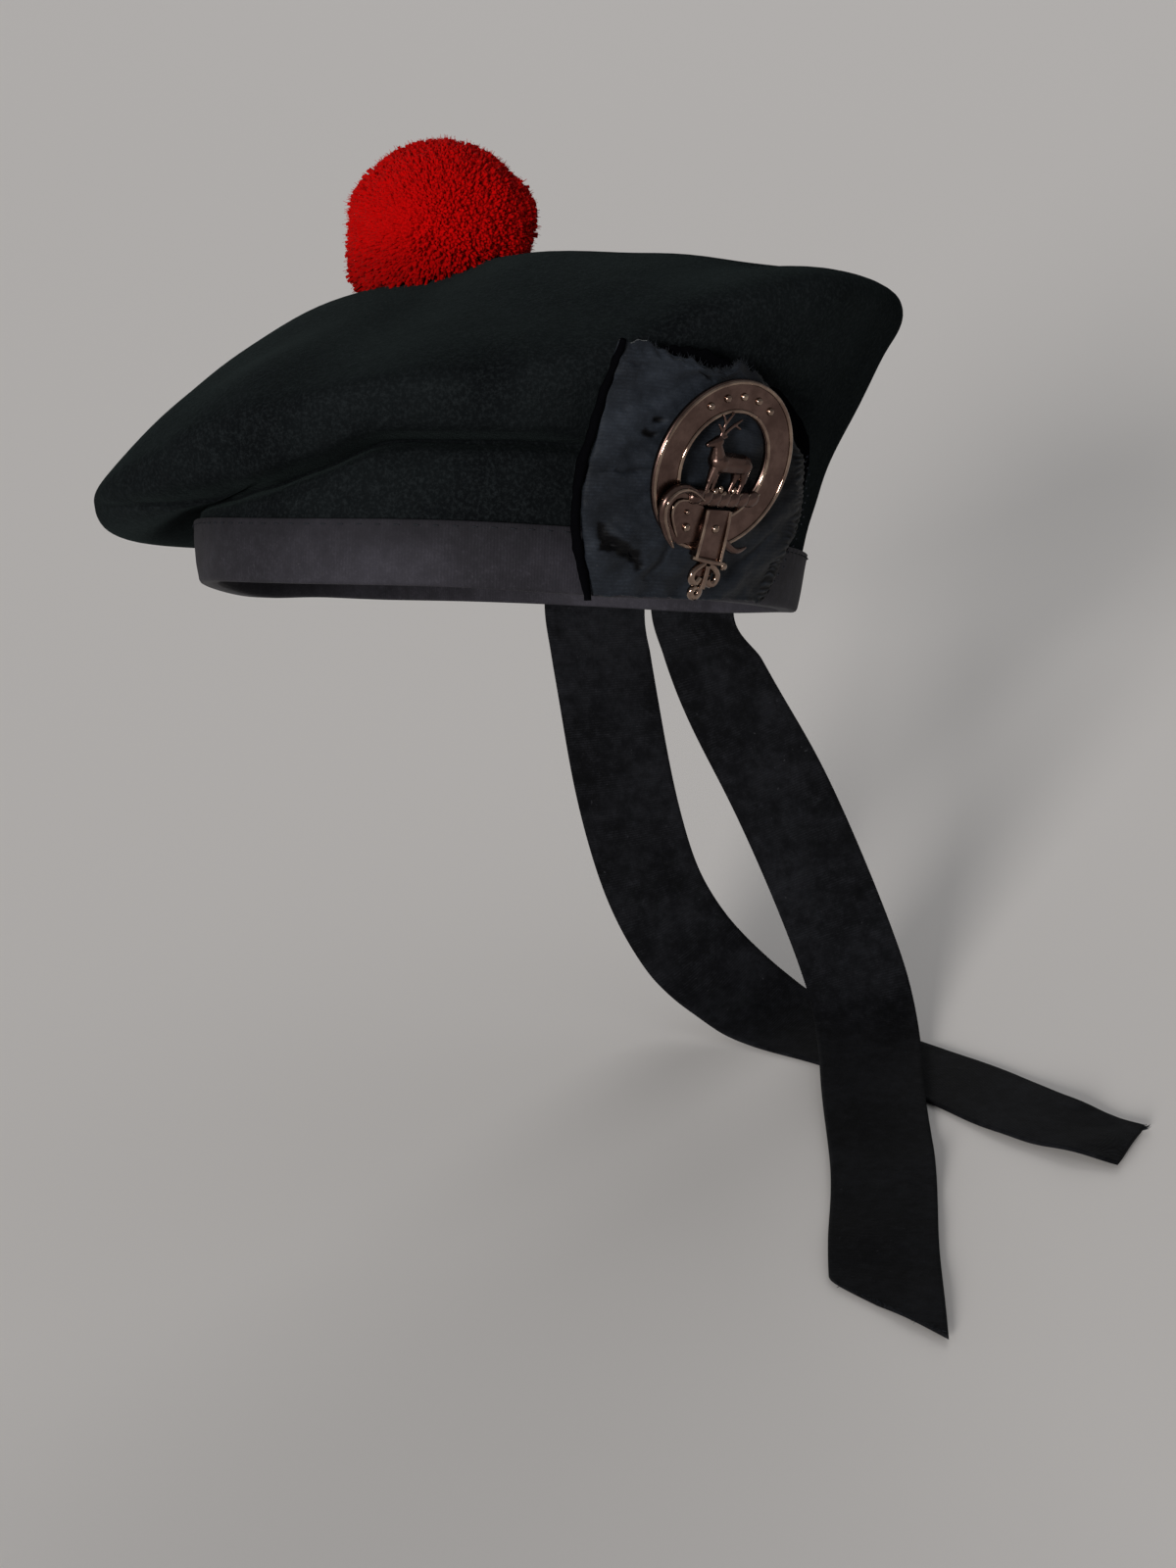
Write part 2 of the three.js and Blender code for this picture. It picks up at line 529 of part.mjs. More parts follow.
// One row for each section of a tail: the middle of the ribbon, with its height over SURFACE_Z,
// the way its front face looks (an angle as in the level frame, and how far up), its width, and
// how much further the edge towards the wearer's left runs on than the other.
const LEFT_TAIL = [
  { x: 16.6, y: 99.2, above: 152, facing: -14, up: 0, width: 32, slant: 0 },
  { x: 16.8, y: 95.4, above: 139, facing: -14, up: 0, width: 32, slant: 0 },
  { x: 24, y: 97.5, above: 114, facing: 0, up: 0, width: 32, slant: 0 },
  { x: 38, y: 100, above: 82, facing: 14, up: 0, width: 32, slant: 0 },
  { x: 50, y: 102, above: 50, facing: 19, up: 5, width: 32, slant: 0 },
  { x: 58, y: 103, above: 25, facing: 19, up: 15, width: 32, slant: 0 },
  { x: 62, y: 101, above: 12, facing: 19, up: 45, width: 32, slant: 0 },
  { x: 69, y: 86, above: 4.7, facing: 19, up: 76, width: 32, slant: 0 },
  { x: 80, y: 56, above: 2.6, facing: 19, up: 87, width: 31, slant: 0 },
  { x: 100, y: 5, above: 0.8, facing: 16, up: 90, width: 30, slant: 0 },
  { x: 114, y: -38, above: 0.8, facing: 16, up: 90, width: 30, slant: 2 },
  { x: 125.5, y: -70, above: 0.8, facing: 16, up: 90, width: 30, slant: 34 },
];
const RIGHT_TAIL = [
  { x: -16.6, y: 99.1, above: 152, facing: 14, up: 0, width: 32, slant: 0 },
  { x: -16.8, y: 95.3, above: 139, facing: 14, up: 0, width: 32, slant: 0 },
  { x: -15.5, y: 96.5, above: 110, facing: 12, up: 0, width: 32, slant: 0 },
  { x: -12, y: 99, above: 70, facing: 12, up: 3, width: 32, slant: 0 },
  { x: -5.5, y: 102, above: 40, facing: 14, up: 12, width: 32, slant: 0 },
  { x: 7.5, y: 104, above: 18, facing: 16, up: 37, width: 32, slant: 0 },
  { x: 31, y: 98, above: 5.7, facing: 24, up: 69, width: 32, slant: 0 },
  { x: 58, y: 90, above: 1.2, facing: 28, up: 86, width: 31, slant: 0 },
  { x: 82, y: 79.5, above: 0.7, facing: 28, up: 90, width: 31, slant: 0 },
  { x: 107, y: 67.5, above: 0.7, facing: 28, up: 90, width: 31, slant: 0 },
  { x: 131, y: 51.5, above: 1.2, facing: 28, up: 88, width: 30, slant: 0 },
  { x: 148, y: 43.5, above: 1.2, facing: 28, up: 90, width: 28.5, slant: 0 },
  { x: 163.5, y: 38.7, above: 1, facing: 28, up: 92, width: 25, slant: -6 },
];
const TAIL_ALONG = 44; // rows that the solid has
const TAIL_ACROSS = 3; // and columns

function tail(table) {
  const points = table.map(({ x, y, above }) => point(x, y, SURFACE_Z + above));
  const middle = new THREE.CatmullRomCurve3(points, false, "centripetal");
  const numbered = table.map((row, i) => ({ ...row, along: i / (table.length - 1) }));
  const [facing, up, width, slant] = ["facing", "up", "width", "slant"].map((column) =>
    through(numbered, "along", column),
  );
  const rows = steps(TAIL_ALONG, (t) => {
    const face = level(facing(t), cosine(up(t)), sine(up(t)));
    const way = middle.getTangent(t);
    const left = face.clone().cross(way).normalize();
    const front = way.clone().cross(left).multiplyScalar(TAIL_THICK / 2);
    const line = steps(TAIL_ACROSS, (s) =>
      middle
        .getPoint(t)
        .addScaledVector(left, (s - 0.5) * width(t))
        .addScaledVector(way, (s - 0.5) * slant(t)),
    );
    return [
      ...line.map((p) => p.clone().add(front)),
      ...line.reverse().map((p) => p.clone().sub(front)),
    ];
  });
  return loft(rows, false);
}

// ---------------------------------------------------------------- the bonnet

const cloth = (color, roughness) => new THREE.MeshStandardMaterial({ color, roughness, metalness: 0 });
const FELT_BLACK = cloth(0x14181a, 0.95);
const BAND_BLACK = cloth(0x1d1d22, 0.7);
const COCKADE_NAVY = cloth(0x1b212b, 0.6);
const TOORIE_RED = cloth(0xb00808, 1);
const OLD_BRONZE = new THREE.MeshStandardMaterial({ color: 0x6a4a40, roughness: 0.35, metalness: 1 });

function piece(name, geometry, material) {
  geometry.computeVertexNormals();
  const mesh = new THREE.Mesh(geometry, material);
  mesh.name = name;
  return mesh;
}

const pinned = new THREE.Group();
pinned.add(piece("crest_badge", badge(), OLD_BRONZE));
pinned.add(piece("badge_pin", badgePin(), OLD_BRONZE));
badgeFrame().decompose(pinned.position, pinned.quaternion, pinned.scale);

const worn = new THREE.Group();
worn.add(piece("crown", crown(), FELT_BLACK));
worn.add(piece("headband", headband(), BAND_BLACK));
worn.add(piece("toorie", toorie(), TOORIE_RED));
worn.add(piece("cockade", cockade(), COCKADE_NAVY));
worn.add(pinned);
worn.rotation.x = THREE.MathUtils.degToRad(-WORN_TILT);

const bonnet = new THREE.Group();
bonnet.add(worn);
bonnet.add(piece("left_tail", tail(LEFT_TAIL), BAND_BLACK));
bonnet.add(piece("right_tail", tail(RIGHT_TAIL), BAND_BLACK));
export default bonnet;
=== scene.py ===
# The looks of a balmoral bonnet: felted crown, ribbon binding, pompom, cockade, badge and tails.
import math
import random

import bmesh
import bpy
import numpy as np
from mathutils import Matrix, Vector
from mathutils.bvhtree import BVHTree


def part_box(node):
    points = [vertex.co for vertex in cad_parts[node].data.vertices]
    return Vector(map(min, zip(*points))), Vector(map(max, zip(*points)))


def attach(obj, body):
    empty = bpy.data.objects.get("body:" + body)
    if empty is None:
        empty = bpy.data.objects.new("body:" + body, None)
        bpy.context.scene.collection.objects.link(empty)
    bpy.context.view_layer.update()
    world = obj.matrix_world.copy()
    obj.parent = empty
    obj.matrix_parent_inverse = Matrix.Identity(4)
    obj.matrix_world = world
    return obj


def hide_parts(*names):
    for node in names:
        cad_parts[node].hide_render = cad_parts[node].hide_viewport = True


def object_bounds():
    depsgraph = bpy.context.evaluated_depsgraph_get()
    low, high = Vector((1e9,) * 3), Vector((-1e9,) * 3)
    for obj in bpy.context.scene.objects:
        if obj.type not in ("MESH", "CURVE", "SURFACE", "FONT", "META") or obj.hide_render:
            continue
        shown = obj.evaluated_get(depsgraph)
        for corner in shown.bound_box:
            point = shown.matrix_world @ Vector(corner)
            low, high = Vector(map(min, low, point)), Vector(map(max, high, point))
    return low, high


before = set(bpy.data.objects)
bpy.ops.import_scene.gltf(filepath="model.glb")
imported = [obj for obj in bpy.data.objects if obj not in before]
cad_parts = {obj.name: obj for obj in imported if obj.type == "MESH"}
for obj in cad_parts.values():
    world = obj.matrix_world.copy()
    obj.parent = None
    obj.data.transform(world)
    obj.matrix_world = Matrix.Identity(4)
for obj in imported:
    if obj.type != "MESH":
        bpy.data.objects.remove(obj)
cad_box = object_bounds()

MM = 0.001
WORN_TILT = math.radians(16)
LEVEL = Matrix.Rotation(-WORN_TILT, 4, "X")  # turns the level frame of the mouth to how it is worn
TURN = np.array(LEVEL.to_3x3())

# Millimetres, in the level frame: angles run from the wearer's front to the wearer's left.
MOUTH_HALF_BREADTH = 79.5
MOUTH_HALF_LENGTH = 100.5
MOUTH_SAG = 5
MOUTH_DIP_AT = math.radians(-85)
MOUTH_DIP_REACH = math.radians(24)
MOUTH_DIP = 2.5
MOUTH_DRAWN_IN = 3
BAND_HEIGHT = 16.5
BAND_INSIDE_HEIGHT = 12
BAND_THICK = 1.1
FELT_THICK = 2.6
TAIL_THICK = 1.0
GAP = 0.35  # between pieces that touch
CORNER = math.radians(50)  # edges sharper than this stay corners when a mesh is subdivided
FULL_TURN = 2 * math.pi
FAR = 99  # a distance at which nothing tells any more


# -------- shader maths

class Value:
    """A node's output. Python's operators on it add Math nodes."""

    def __init__(self, finish, socket):
        self.finish = finish
        self.socket = socket

    def maths(self, operation, *values):
        return self.finish.node("ShaderNodeMath", {"operation": operation}, *values)

    def __add__(self, other):
        return self.maths("ADD", self, other)

    __radd__ = __add__

    def __sub__(self, other):
        return self.maths("SUBTRACT", self, other)

    def __rsub__(self, other):
        return self.maths("SUBTRACT", other, self)

    def __mul__(self, other):
        return self.maths("MULTIPLY", self, other)

    __rmul__ = __mul__

    def sine(self):
        return self.maths("SINE", self)

    def clamped(self):
        return self.finish.node("ShaderNodeClamp", {}, self)

    def between(self, low, high):
        """What eased() below gives for numbers."""
        settings = {"interpolation_type": "SMOOTHSTEP"}
        return self.finish.node("ShaderNodeMapRange", settings, self, low, high)


class Finish:
    """A material with one Principled surface, whose other nodes come from node()."""

    def __init__(self, name, **constants):
        self.material = bpy.data.materials.new(name)
        self.material.use_nodes = True
        self.tree = self.material.node_tree
        self.surface = self.tree.nodes["Principled BSDF"]
        for socket, constant in constants.items():
            self.surface.inputs[socket.replace("_", " ")].default_value = constant

    def node(self, kind, settings, *values, output=None, **named):
        """Adds a node, sets its settings, and feeds its sockets in order or by name."""
        made = self.tree.nodes.new(kind)
        for setting, value in settings.items():
            setattr(made, setting, value)
        enabled = [socket for socket in made.inputs if socket.enabled]
        for socket, value in zip(enabled, values):
            self.feed(socket, value)
        for name, value in named.items():
            self.feed(next(socket for socket in enabled if socket.name == name), value)
        outputs = [socket for socket in made.outputs if socket.enabled]
        return Value(self, next(s for s in outputs if output in (None, s.name)))

    def feed(self, socket, value):
        if isinstance(value, Value):
            self.tree.links.new(value.socket, socket)
        elif value is not None:
            coloured = hasattr(value, "__len__") and len(value) == 3 and socket.type == "RGBA"
            socket.default_value = (*value, 1) if coloured else value

    def set(self, **sockets):
        for name, value in sockets.items():
            self.feed(self.surface.inputs[name.replace("_", " ")], value)

    def place(self):
        return self.node("ShaderNodeTexCoord", {}, output="Object")

    def unrolled(self):
        """The distance along a ribbon or strand, and the distance across it."""
        place = self.node("ShaderNodeUVMap", {"uv_map": "unrolled"})
        parts = self.node("ShaderNodeSeparateXYZ", {}, place).socket.node.outputs
        return Value(self, parts["X"]), Value(self, parts["Y"])

    def painted_shade(self):
        """The painted shade that the mesh gives the cloth, from 0 to 1, in its folds and hollows.
        """
        settings = {"attribute_name": "painted_shade"}
        return self.node("ShaderNodeAttribute", settings, output="Fac").clamped()

    def noise(self, scale, detail=2, roughness=0.5):
        """Cloudy noise from 0 to 1, with this many lumps to the metre."""
        sizes = {"Scale": scale, "Detail": detail, "Roughness": roughness}
        return self.node("ShaderNodeTexNoise", {}, self.place(), output="Fac", **sizes)

    def mixed(self, share, first, second):
        return self.node("ShaderNodeMix", {"data_type": "RGBA"}, share, first, second)

    def bump(self, height, distance, strength, under=None):
        """Bumps this deep in metres, laid over the ones under them."""
        sockets = {"Strength": strength, "Distance": distance, "Height": height, "Normal": under}
        return self.node("ShaderNodeBump", {}, **sockets)


# -------- mesh helpers

def through(rows, column):
    """A smooth value through one column of a table, against its first column."""
    keys = np.array([row[0] for row in rows], float)
    values = np.array([row[column] for row in rows], float)
    before = np.maximum(np.arange(len(keys)) - 1, 0)
    after = np.minimum(np.arange(len(keys)) + 1, len(keys) - 1)
    slopes = (values[after] - values[before]) / (keys[after] - keys[before])

    def value(asked):
        at = np.clip(asked, keys[0], keys[-1])
        i = np.clip(np.searchsorted(keys, at, side="right") - 1, 0, len(keys) - 2)
        width = keys[i + 1] - keys[i]
        t = (at - keys[i]) / width
        from_here = values[i] * (1 + 2 * t) + width * slopes[i] * t
        from_next = values[i + 1] * (3 - 2 * t) - width * slopes[i + 1] * (1 - t)
        return from_here * (1 - t) ** 2 + from_next * t**2

    return value


def mouth_radius(angle, out=0.0, over=BAND_HEIGHT):
    """How far the felt's outside is from the middle of the mouth, over the mouth's edge."""
    drawn_in = MOUTH_DRAWN_IN * (1 - np.minimum(over / BAND_HEIGHT, 1))
    breadth = MOUTH_HALF_BREADTH - drawn_in + out
    return 1 / np.hypot(np.sin(angle) / breadth, np.cos(angle) / (MOUTH_HALF_LENGTH + out))


def mouth_height(angle):
    """How high the mouth's edge is: it sags at the back and dips at the wearer's right."""
    away = np.angle(np.exp(1j * (angle - MOUTH_DIP_AT))) / MOUTH_DIP_REACH
    return -MOUTH_SAG * (0.5 - 0.5 * np.cos(angle)) - MOUTH_DIP * np.exp(-away * away)


def level(angle, radius, height):
    """Points of the level frame, in millimetres, from angles in radians."""
    return np.stack([radius * np.sin(angle), -radius * np.cos(angle), height + 0 * angle], -1)


def angle_of(points):
    return np.arctan2(points[..., 0], -points[..., 1])


def worn(points):
    """Points of the level frame, in millimetres, as metres in the row's frame."""
    return np.asarray(points) @ TURN.T * MM


def unworn(points):
    """Points of the row's frame, in metres, as millimetres in the level frame."""
    return np.asarray(points) @ TURN / MM


def points_of(mesh, what="co"):
    flat = np.empty(len(mesh.vertices) * 3, np.float32)
    mesh.vertices.foreach_get(what, flat)
    return flat.reshape(-1, 3).astype(float)


def move(mesh, points):
    mesh.vertices.foreach_set("co", np.asarray(points, np.float32).ravel())
    mesh.update()


def mesh_from(bm):
    mesh = bpy.data.meshes.new("work")
    bm.to_mesh(mesh)
    bm.free()
    return mesh


def cad_quads(node):
    """A CAD node's shape, merged and with its pairs of triangles joined."""
    bm = bmesh.new()
    bm.from_mesh(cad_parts[node].data)
    bmesh.ops.remove_doubles(bm, verts=bm.verts, dist=1e-6)
    bmesh.ops.join_triangles(
        bm, faces=bm.faces, angle_face_threshold=math.pi, angle_shape_threshold=math.pi
    )
    return bm


def placed(name, data):
    """A new object, linked to the scene at the origin."""
    made = bpy.data.objects.new(name, data)
    bpy.context.scene.collection.objects.link(made)
    return made


def settled(helper):
    """The mesh that a helper object comes to, after which the helper is removed."""
    evaluated = helper.evaluated_get(bpy.context.evaluated_depsgraph_get())
    made = bpy.data.meshes.new_from_object(evaluated)
    bpy.data.objects.remove(helper)
    return made


def subdivided(mesh, levels, sharp=None):
    """The mesh after Catmull-Clark, with edges sharper than an angle kept as corners."""
    if sharp is not None:
        bm = bmesh.new()
        bm.from_mesh(mesh)
        creased = bm.edges.layers.float.new("crease_edge")
        for edge in bm.edges:
            if edge.is_manifold and edge.calc_face_angle() > sharp:
                edge[creased] = 1
        bm.to_mesh(mesh)
        bm.free()
    return modified(mesh, ("SUBSURF", {"levels": levels, "render_levels": levels}))


def modified(mesh, *modifiers):
    """The mesh after some modifiers, each applied."""
    helper = placed("helper", mesh)
    for kind, settings in modifiers:
        modifier = helper.modifiers.new(kind, kind)
        for setting, value in settings.items():
            setattr(modifier, setting, value)
    return settled(helper)


def unroll(mesh, along, across, ring=None):
    """A UV map of the distance along and across a ribbon. On a closed ring of some length,
    faces that cross its seam count on past that length."""
    layer = mesh.uv_layers.get("unrolled") or mesh.uv_layers.new(name="unrolled")
    corners = np.empty(len(mesh.loops), np.int32)
    mesh.loops.foreach_get("vertex_index", corners)
    u, v = np.asarray(along, float)[corners], np.asarray(across, float)[corners]
    if ring:
        sizes = np.array([face.loop_total for face in mesh.polygons])
        face_of = np.repeat(np.arange(len(sizes)), sizes)
        highest = np.full(len(sizes), -1e9)
        np.maximum.at(highest, face_of, u)
        u = np.where(highest[face_of] - u > ring / 2, u + ring, u)
    layer.data.foreach_set("uv", np.stack([u, v], -1).astype(np.float32).ravel())


def finished(name, mesh, finish, slot, *nodes):
    """A smooth-shaded piece with its finish, in place of some CAD nodes."""
    mesh.name = name
    mesh.materials.clear()
    mesh.materials.append(finish)
    mesh.polygons.foreach_set("use_smooth", [True] * len(mesh.polygons))
    piece = placed(name, mesh)
    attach(piece, "root")
    if nodes:
        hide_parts(*nodes)
    return piece


def joined(meshes):
    bm = bmesh.new()
    for mesh in meshes:
        bm.from_mesh(mesh)
    return mesh_from(bm)


def repeated(template, places):
    """One mesh of many copies of a small one."""
    bm = bmesh.new()
    for place in places:
        copy = template.copy()
        copy.transform(place)
        bm.from_mesh(copy)
        bpy.data.meshes.remove(copy)
    return mesh_from(bm)


def pointing(at, along, length, width, turn=0.0):
    """A matrix that stands a template of unit height at a point, along a direction."""
    aim = Vector(along).to_track_quat("Z", "Y").to_matrix().to_4x4()
    size = Matrix.Diagonal((width, width, length, 1))
    return Matrix.Translation(at) @ aim @ Matrix.Rotation(turn, 4, "Z") @ size


def any_way(rng):
    return Vector([rng.gauss(0, 1) for _ in range(3)])


def strand(sides, rings, tip, bend):
    """A tapering strand of unit height and radius, bent over a little."""
    bm = bmesh.new()
    bmesh.ops.create_cone(bm, segments=sides, radius1=1, radius2=tip, depth=1, cap_ends=True)
    uprights = [e for e in bm.edges if abs(e.verts[0].co.z - e.verts[1].co.z) > 0.5]
    bmesh.ops.subdivide_edges(bm, edges=uprights, cuts=rings)
    for vert in bm.verts:
        vert.co.z += 0.5
        vert.co.x += bend * vert.co.z**2
    return mesh_from(bm)


def lathe(profile, steps):
    """A ring whose closed profile is (radius, height), turned round the Z axis."""
    bm = bmesh.new()
    verts = [bm.verts.new((radius, 0, height)) for radius, height in profile]
    edges = [bm.edges.new(pair) for pair in zip(verts, verts[1:] + verts[:1])]
    bmesh.ops.spin(
        bm, geom=verts + edges, axis=(0, 0, 1), angle=FULL_TURN, steps=steps, use_merge=True
    )
    bmesh.ops.recalc_face_normals(bm, faces=bm.faces)
    return mesh_from(bm)


def sheet_of(columns, rows):
    """A flat sheet, and each vertex's share of the way across it and up it."""
    bm = bmesh.new()
    middle = Matrix.Translation((0.5, 0.5, 0))
    bmesh.ops.create_grid(bm, x_segments=columns, y_segments=rows, size=0.5, matrix=middle)
    mesh = mesh_from(bm)
    across, up, _ = points_of(mesh).T
    return mesh, across, up


def thickened(mesh, thickness):
    return modified(mesh, ("SOLIDIFY", {"thickness": thickness * MM, "offset": -1}))


def tube(points, radii, sides=10):
    """A closed tube along points, with a radius at each one."""
    path = bpy.data.curves.new("path", "CURVE")
    path.dimensions = "3D"
    path.bevel_depth = 1
    path.bevel_resolution = max(sides // 4 - 1, 0)
    path.use_fill_caps = True
    path.resolution_u = 3
    spline = path.splines.new("NURBS")
    spline.points.add(len(points) - 1)
    for point, place, radius in zip(spline.points, points, radii):
        point.co = (*place, 1)
        point.radius = radius
    spline.use_endpoint_u = True
    spline.order_u = 3
    mesh = settled(placed("helper", path))
    bpy.data.curves.remove(path)
    return mesh


def set_painted_shade(mesh, painted_shade):
    """Stores each vertex's painted shade, from 0 to 1, which darkens the cloth's colour in folds
    and hollows.
    """
    values = np.clip(painted_shade, 0, 1).astype(np.float32)
    mesh.attributes.new("painted_shade", "FLOAT", "POINT").data.foreach_set("value", values)


def uneven(points, wavelength, seed, waves=14):
    """Smooth uneven values of about -1 to 1, which change over about this wavelength."""
    rng = np.random.default_rng(seed)
    directions = rng.normal(size=(waves, 3))
    directions /= np.linalg.norm(directions, axis=1)[:, None]
    rates = FULL_TURN / (wavelength * rng.uniform(0.7, 1.6, waves))
    phases = rng.uniform(0, FULL_TURN, waves)
    total = np.zeros(points.shape[:-1])
    for direction, rate, phase in zip(directions, rates, phases):
        total += np.sin(points @ direction * rate + phase)
    return total / math.sqrt(waves)


def eased(value, low, high):
    """0 below low, 1 above high, and smooth from one to the other."""
    t = np.clip((value - low) / (high - low), 0, 1)
    return t * t * (3 - 2 * t)


def bump_at(value, middle, width):
    """1 at the middle, dying away over the width on both sides of it."""
    return np.exp(-(((value - middle) / width) ** 2))


def beside(points, line):
    """Each point's distance from a line of points, and how far along it is, from 0 to 1."""
    line = np.asarray(line, float)
    nearest = np.full(points.shape[:-1], 1e9)
    along = np.zeros(points.shape[:-1])
    for i, (a, b) in enumerate(zip(line[:-1], line[1:])):
        step = b - a
        t = np.clip((points - a) @ step / (step @ step), 0, 1)
        apart = np.linalg.norm(points - (a + t[..., None] * step), axis=-1)
        closer = apart < nearest
        nearest = np.where(closer, apart, nearest)
        along = np.where(closer, (i + t) / (len(line) - 1), along)
    return nearest, along


def crease(points, line, width):
    """1 on a line and 0 away from it, dying out at the line's ends."""
    apart, along = beside(points, line)
    return bump_at(apart, 0, width) * np.sqrt(np.clip(4 * along * (1 - along), 0, 1))


# -------- finishes

def felt_finish():
    sheen = {"Sheen_Weight": 0.02, "Sheen_Roughness": 0.4, "Sheen_Tint": (0.6, 0.8, 0.78, 1)}
    felt = Finish("felt", Roughness=1.0, Specular_IOR_Level=0.0, **sheen)
    cloudy = felt.noise(38, 3)
    fibres = felt.noise(1100, 4, roughness=0.75)
    matted = felt.noise(420, 3, roughness=0.6)
    shade = felt.mixed(cloudy.between(0.3, 0.7), (0.0038, 0.0044, 0.005), (0.0062, 0.0076, 0.0082))
    lighter = (fibres - 0.46) * 4.5 + (matted - 0.5) * 1.2
    colour = felt.mixed(lighter.clamped() * 0.55, shade, (0.0178, 0.0213, 0.0228))
    # Painted shade: the felt is painted near black down in the crease under the droop, as its mesh
    # says.
    felt.set(Base_Color=felt.mixed(felt.painted_shade(), colour, (0.0012, 0.0014, 0.0016)))
    lumps = felt.bump(matted, 0.0008, 0.35)
    felt.set(Normal=felt.bump(fibres, 0.0004, 0.6, lumps))
    return felt.material


def times(colour, share):
    return tuple(share * c for c in colour)


def grosgrain_finish(
    name, dark, light, rib, roughness, ribbing, mottling, painted_fold_shade=False, shadow_and_dirt_over=None, shine=0.12
):
    """Ribbon whose ribs, this many millimetres apart, run across it. One with painted fold shade
    goes black in its painted shade, and one darkens over a range of its width with painted shadow
    and dirt."""
    ribbon = Finish(name, Specular_IOR_Level=shine, Sheen_Weight=0.02, Sheen_Roughness=0.4)
    along, across = ribbon.unrolled()
    ribs = (along * (FULL_TURN / rib)).sine() * 0.5 + 0.5
    cloudy = ribbon.noise(38, 3)
    threads = ribbon.noise(1400, 3, roughness=0.7)
    worn_patches = ribbon.noise(260, 4, roughness=0.75)
    lint = ribbon.noise(700, 2)
    shade = ribbon.mixed(cloudy.between(0.35, 0.7), dark, light)
    pale = (threads - 0.5) * 1.2 + (ribs - 0.5) * ribbing + (worn_patches - 0.5) * mottling
    colour = ribbon.mixed(pale.clamped() * 0.5, shade, times(light, 2.6))
    grubby = (0.5 - worn_patches).clamped() * mottling
    colour = ribbon.mixed(grubby, colour, times(dark, 0.5))
    colour = ribbon.mixed(lint.between(0.72, 0.8) * 0.3, colour, (0.06, 0.06, 0.066))
    # Painted shadow, with some dirt, darkening the ribbon over part of its width.
    if shadow_and_dirt_over:
        shaded = across.between(*shadow_and_dirt_over) * 0.5
        colour = ribbon.mixed(shaded, colour, times(dark, 0.45))
    # Painted shade: near black where the mesh gives painted shade.
    if painted_fold_shade:
        colour = ribbon.mixed(ribbon.painted_shade(), colour, (0.001, 0.001, 0.0015))
    ribbon.set(Base_Color=colour)
    ribbon.set(Roughness=cloudy * 0.18 + roughness)
    fine = ribbon.bump(threads, 0.0002, 0.35, ribbon.bump(worn_patches, 0.0005, 0.3 * mottling))
    ribbon.set(Normal=ribbon.bump(ribs, 0.00018, ribbing, fine))
    return ribbon.material


def yarn_finish():
    sheen = {"Sheen_Weight": 0.1, "Sheen_Tint": (1, 0.1, 0.08, 1)}
    yarn = Finish("yarn", Roughness=1.0, Specular_IOR_Level=0.05, **sheen)
    tone_and_painted_shade, up = yarn.unrolled()
    # Painted shade: the roots, deep among the strands, and the strands low on the ball are darker.
    root = yarn.mixed(tone_and_painted_shade, (0.16, 0, 0), (0.41, 0, 0))
    end = yarn.mixed(tone_and_painted_shade, (0.18, 0, 0), (0.45, 0.001, 0.001))
    yarn.set(Base_Color=yarn.mixed(up.between(0.35, 0.9), root, end))
    return yarn.material


def bronze_finish(name, dark, light, roughness):
    bronze = Finish(name, Metallic=1.0)
    tarnish = bronze.noise(170, 4, roughness=0.6)
    specks = bronze.noise(1500, 2)
    colour = bronze.mixed(tarnish.between(0.3, 0.75), dark, light)
    speckled = bronze.mixed(specks.between(0.62, 0.8) * 0.4, colour, times(dark, 0.5))
    bronze.set(Base_Color=speckled)
    bronze.set(Roughness=tarnish * 0.14 + roughness)
    bronze.set(Normal=bronze.bump(tarnish, 0.0001, 0.12))
    return bronze.material


def plain_cloth(name, colour, roughness=0.9):
    cloth = Finish(name, Roughness=roughness, Specular_IOR_Level=0.0)
    fibres = cloth.noise(1500, 3, roughness=0.7)
    cloth.set(Base_Color=cloth.mixed(fibres, times(colour, 0.6), times(colour, 1.5)))
    cloth.set(Normal=cloth.bump(fibres, 0.0002, 0.4))
    return cloth.material


FELT_CLOTH = felt_finish()
BINDING = grosgrain_finish(
    "binding",
    dark=(0.0175, 0.0164, 0.0204),
    light=(0.030, 0.0282, 0.0352),
    rib=0.8,
    roughness=0.7,
    ribbing=0.14,
    mottling=1.3,
    # Painted shadow of the crown's overhang, with some dirt, towards the binding's top edge.
    shadow_and_dirt_over=(5, BAND_HEIGHT - 0.5),
)
TAIL_RIBBON = grosgrain_finish(
    "tail_ribbon",
    dark=(0.0029, 0.0030, 0.0036),
    light=(0.0074, 0.0077, 0.0092),
    rib=0.8,
    roughness=0.85,
    ribbing=0.4,
    mottling=2.6,
    shine=0.04,
)
COCKADE_RIBBON = grosgrain_finish(
    "cockade_ribbon",
    dark=(0.0082, 0.0100, 0.0134),
    light=(0.0150, 0.0186, 0.0250),
    rib=0.9,
    roughness=0.55,
    ribbing=0.25,
    mottling=1.6,
    painted_fold_shade=True,
)
BLACK_ROLL = plain_cloth("black_roll", (0.0015, 0.0015, 0.002))
DARK_THREAD = plain_cloth("dark_thread", (0.02, 0.022, 0.026), 0.8)
YARN = yarn_finish()
BRONZE = bronze_finish("bronze", (0.092, 0.056, 0.047), (0.165, 0.105, 0.088), 0.2)
RUBBED_BRONZE = bronze_finish("rubbed_bronze", (0.19, 0.125, 0.10), (0.38, 0.285, 0.22), 0.04)


# -------- crown and binding

CROWN_CREASE = (  # where the droop folds over the side wall: degrees, height, depth
    (-66, 17, 0),
    (-52, 18, 2),
    (-38, 19.2, 3.2),
    (-26, 21.4, 4),
    (-14, 25, 4.6),
    (-4, 29.6, 4.8),
    (6, 34.6, 4.8),
    (14, 36.6, 4.6),
    (24, 37.3, 4.2),
    (32, 36.2, 4),
    (40, 34.6, 2.2),
    (50, 33.5, 0),
)


